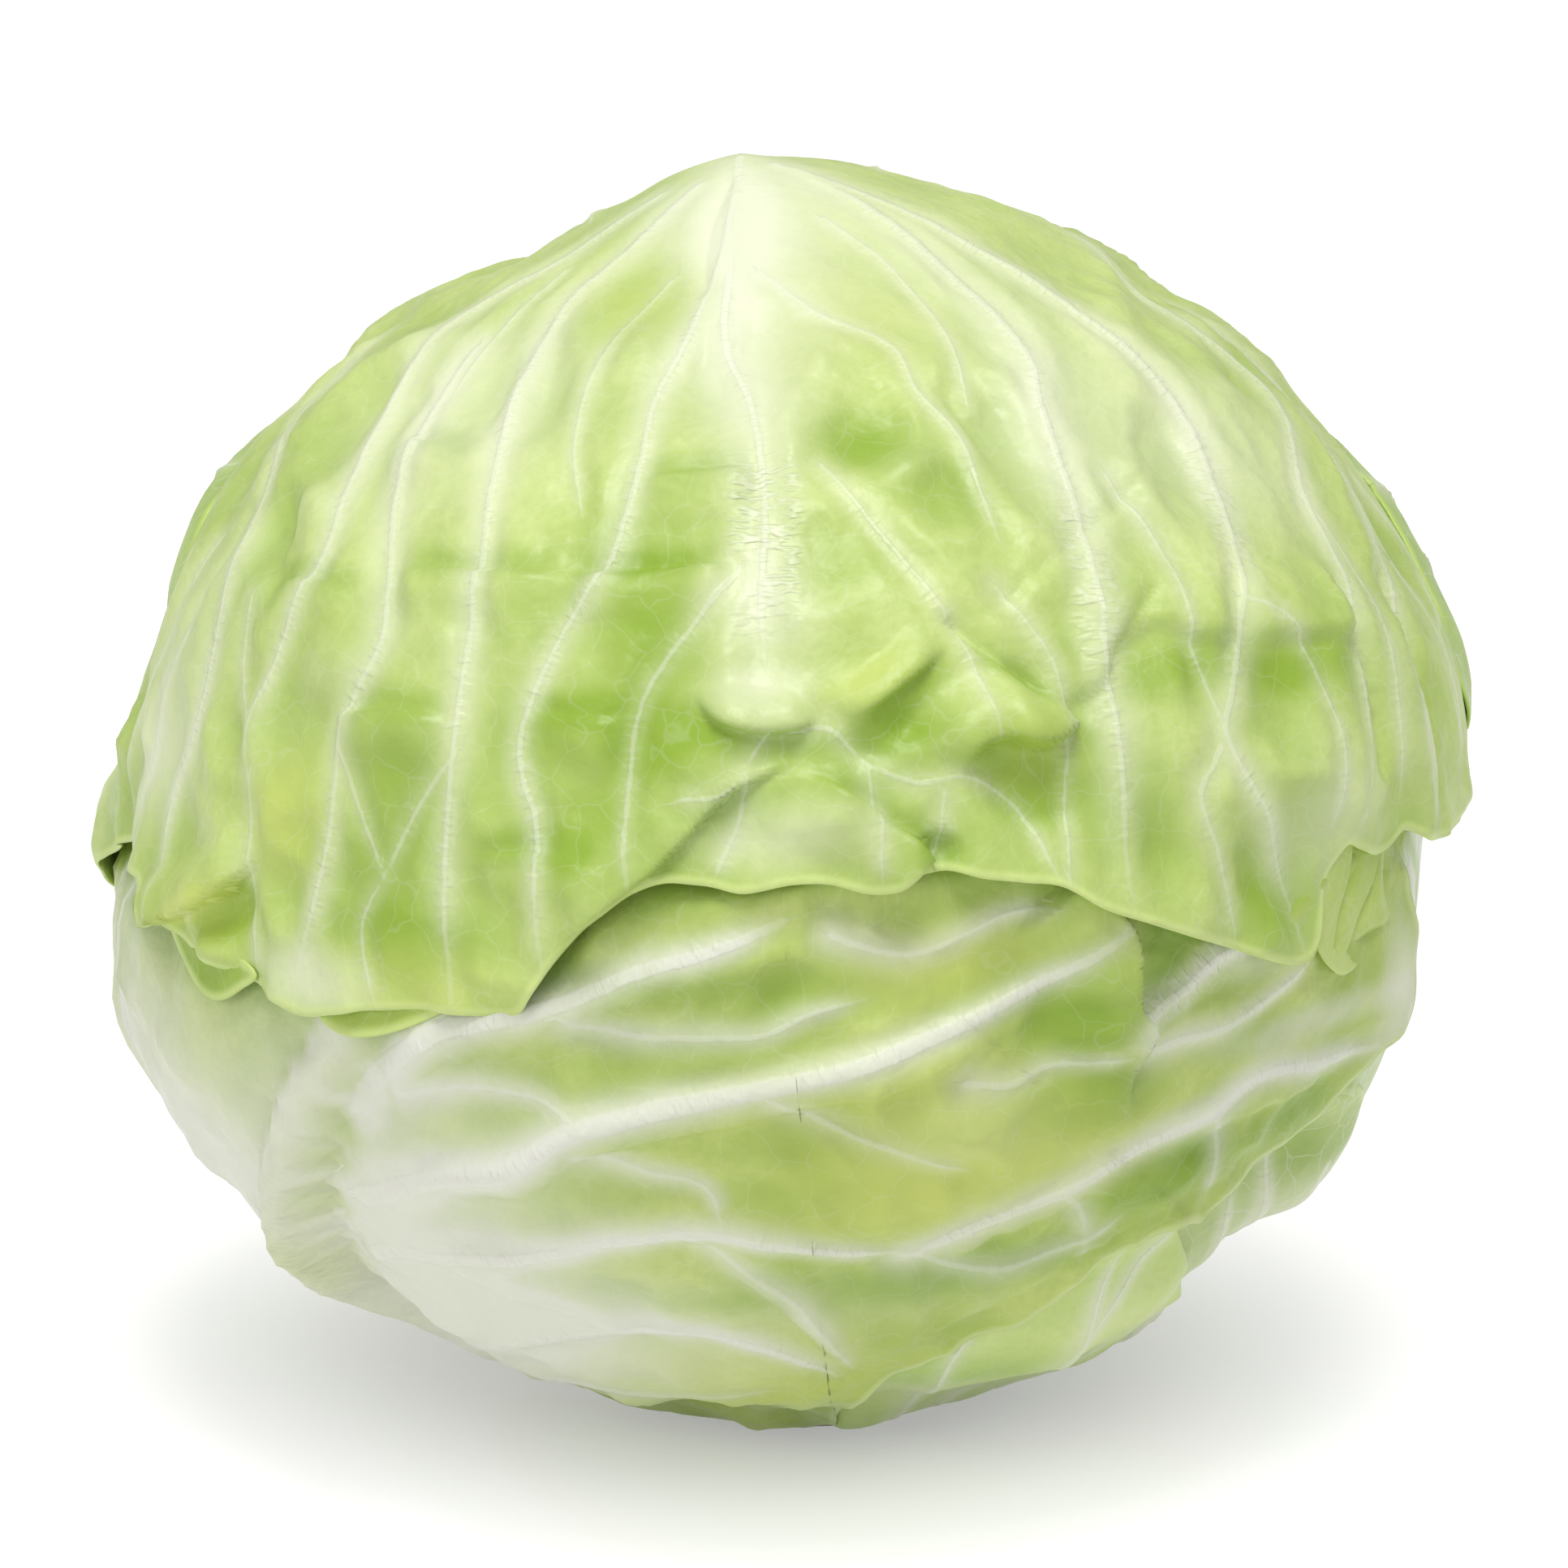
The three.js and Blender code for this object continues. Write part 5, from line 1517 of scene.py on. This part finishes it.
def floor_material():
    """Matt white paper. The camera sees it lifted to white, with the head's shadow kept on it."""
    material = new_material("white_paper_sweep")
    tree = material.node_tree
    ray = add_node(tree, "ShaderNodeLightPath").outputs
    seen = ray["Is Camera Ray"]
    for other in ("Is Glossy Ray", "Is Transmission Ray"):
        seen = add_node(
            tree, "ShaderNodeMath", {0: seen, 1: ray[other]}, operation="MAXIMUM"
        ).outputs[0]
    tone = add_node(
        tree, "ShaderNodeMix", {0: seen, 6: linear("#efefef"), 7: linear("#c8c8c8")}, data_type="RGBA"
    )
    paper = add_node(
        tree, "ShaderNodeBsdfPrincipled",
        {"Base Color": tone.outputs[2], "Roughness": 0.9, "Specular IOR Level": 0.1},
    )
    place = add_node(tree, "ShaderNodeTexCoord").outputs["Object"]
    from_shadow = add_node(
        tree, "ShaderNodeMapping",
        {"Vector": place, "Location": SHADOW_SHIFT, "Scale": SHADOW_SCALE},
    )
    reach = add_node(tree, "ShaderNodeVectorMath", {0: from_shadow.outputs[0]}, operation="LENGTH")
    # The lift is lower in an oval under the head: a painted shadow.
    shadow_shaped_lift = add_node(
        tree, "ShaderNodeMapRange",
        {0: reach.outputs["Value"], 1: SHADOW_CORE, 2: 1.0, 3: LIFT_UNDER, 4: LIFT_CLEAR},
        interpolation_type="SMOOTHSTEP",
    )
    lift = add_node(tree, "ShaderNodeMath", {0: seen, 1: shadow_shaped_lift.outputs[0]}, operation="MULTIPLY")
    glow = add_node(tree, "ShaderNodeEmission", {"Color": (1, 1, 1, 1), "Strength": lift.outputs[0]})
    both = add_node(tree, "ShaderNodeAddShader", {0: paper.outputs[0], 1: glow.outputs[0]})
    add_node(tree, "ShaderNodeOutputMaterial", {"Surface": both.outputs[0]})
    return material


def soft_box(name, place, target, size, watts):
    """A round soft box at a place, turned to face a target."""
    lamp = bpy.data.lights.new(name, "AREA")
    lamp.shape = "DISK"
    lamp.size = size
    lamp.energy = watts
    holder = bpy.data.objects.new(name, lamp)
    holder.location = place
    aim = Vector(target) - Vector(place)
    holder.rotation_euler = aim.to_track_quat("-Z", "Y").to_euler()
    bpy.context.scene.collection.objects.link(holder)


corners = [(-1, -1), (1, -1), (1, 1), (-1, 1)]
floor_mesh = bpy.data.meshes.new("floor")
floor_points = [(x * FLOOR_SIZE, y * FLOOR_SIZE, -FLOOR_DROP) for x, y in corners]
floor_mesh.from_pydata(floor_points, [], [(0, 1, 2, 3)])
floor_mesh.materials.append(floor_material())
floor = bpy.data.objects.new("floor", floor_mesh)
bpy.context.scene.collection.objects.link(floor)

world = bpy.data.worlds.new("white_studio")
bpy.context.scene.world = world
world.use_nodes = True
world.node_tree.nodes.clear()
ray = add_node(world.node_tree, "ShaderNodeLightPath").outputs
strength = add_node(
    world.node_tree, "ShaderNodeMapRange",
    {0: ray["Is Camera Ray"], 1: 0.0, 2: 1.0, 3: SKY_LIGHT, 4: 1.0},
).outputs[0]
sky = add_node(
    world.node_tree, "ShaderNodeBackground", {"Color": (1, 1, 1, 1), "Strength": strength}
)
add_node(world.node_tree, "ShaderNodeOutputWorld", {"Surface": sky.outputs[0]})

centre_x = FORM_CENTRE[0] * MM
centre_z = FORM_CENTRE[2] * MM
soft_box("key_box", (0.05, -0.6, 1.8), (centre_x, 0, centre_z), 0.9, 19)
soft_box("fill_box", (-1.2, -1.5, 0.8), (centre_x, 0, centre_z), 1.2, 5)

CAMERA_ELEVATION = np.radians(16)
CAMERA_DISTANCE = 1300 * MM
FRAME_WIDTH = 230 * MM  # what the frame spans at the middle of the head
camera = bpy.data.cameras.new("camera")
camera.sensor_width = 36
camera.lens = 36 * CAMERA_DISTANCE / FRAME_WIDTH
camera.clip_start = 0.05
camera.clip_end = 50
camera_object = bpy.data.objects.new("camera", camera)
camera_object.location = (
    centre_x - 0.3 * MM,
    -CAMERA_DISTANCE * np.cos(CAMERA_ELEVATION),
    centre_z + CAMERA_DISTANCE * np.sin(CAMERA_ELEVATION),
)
camera_object.rotation_euler = (np.pi / 2 - CAMERA_ELEVATION, 0, 0)
bpy.context.scene.collection.objects.link(camera_object)
bpy.context.scene.camera = camera_object
bpy.context.scene.view_settings.view_transform = "Standard"
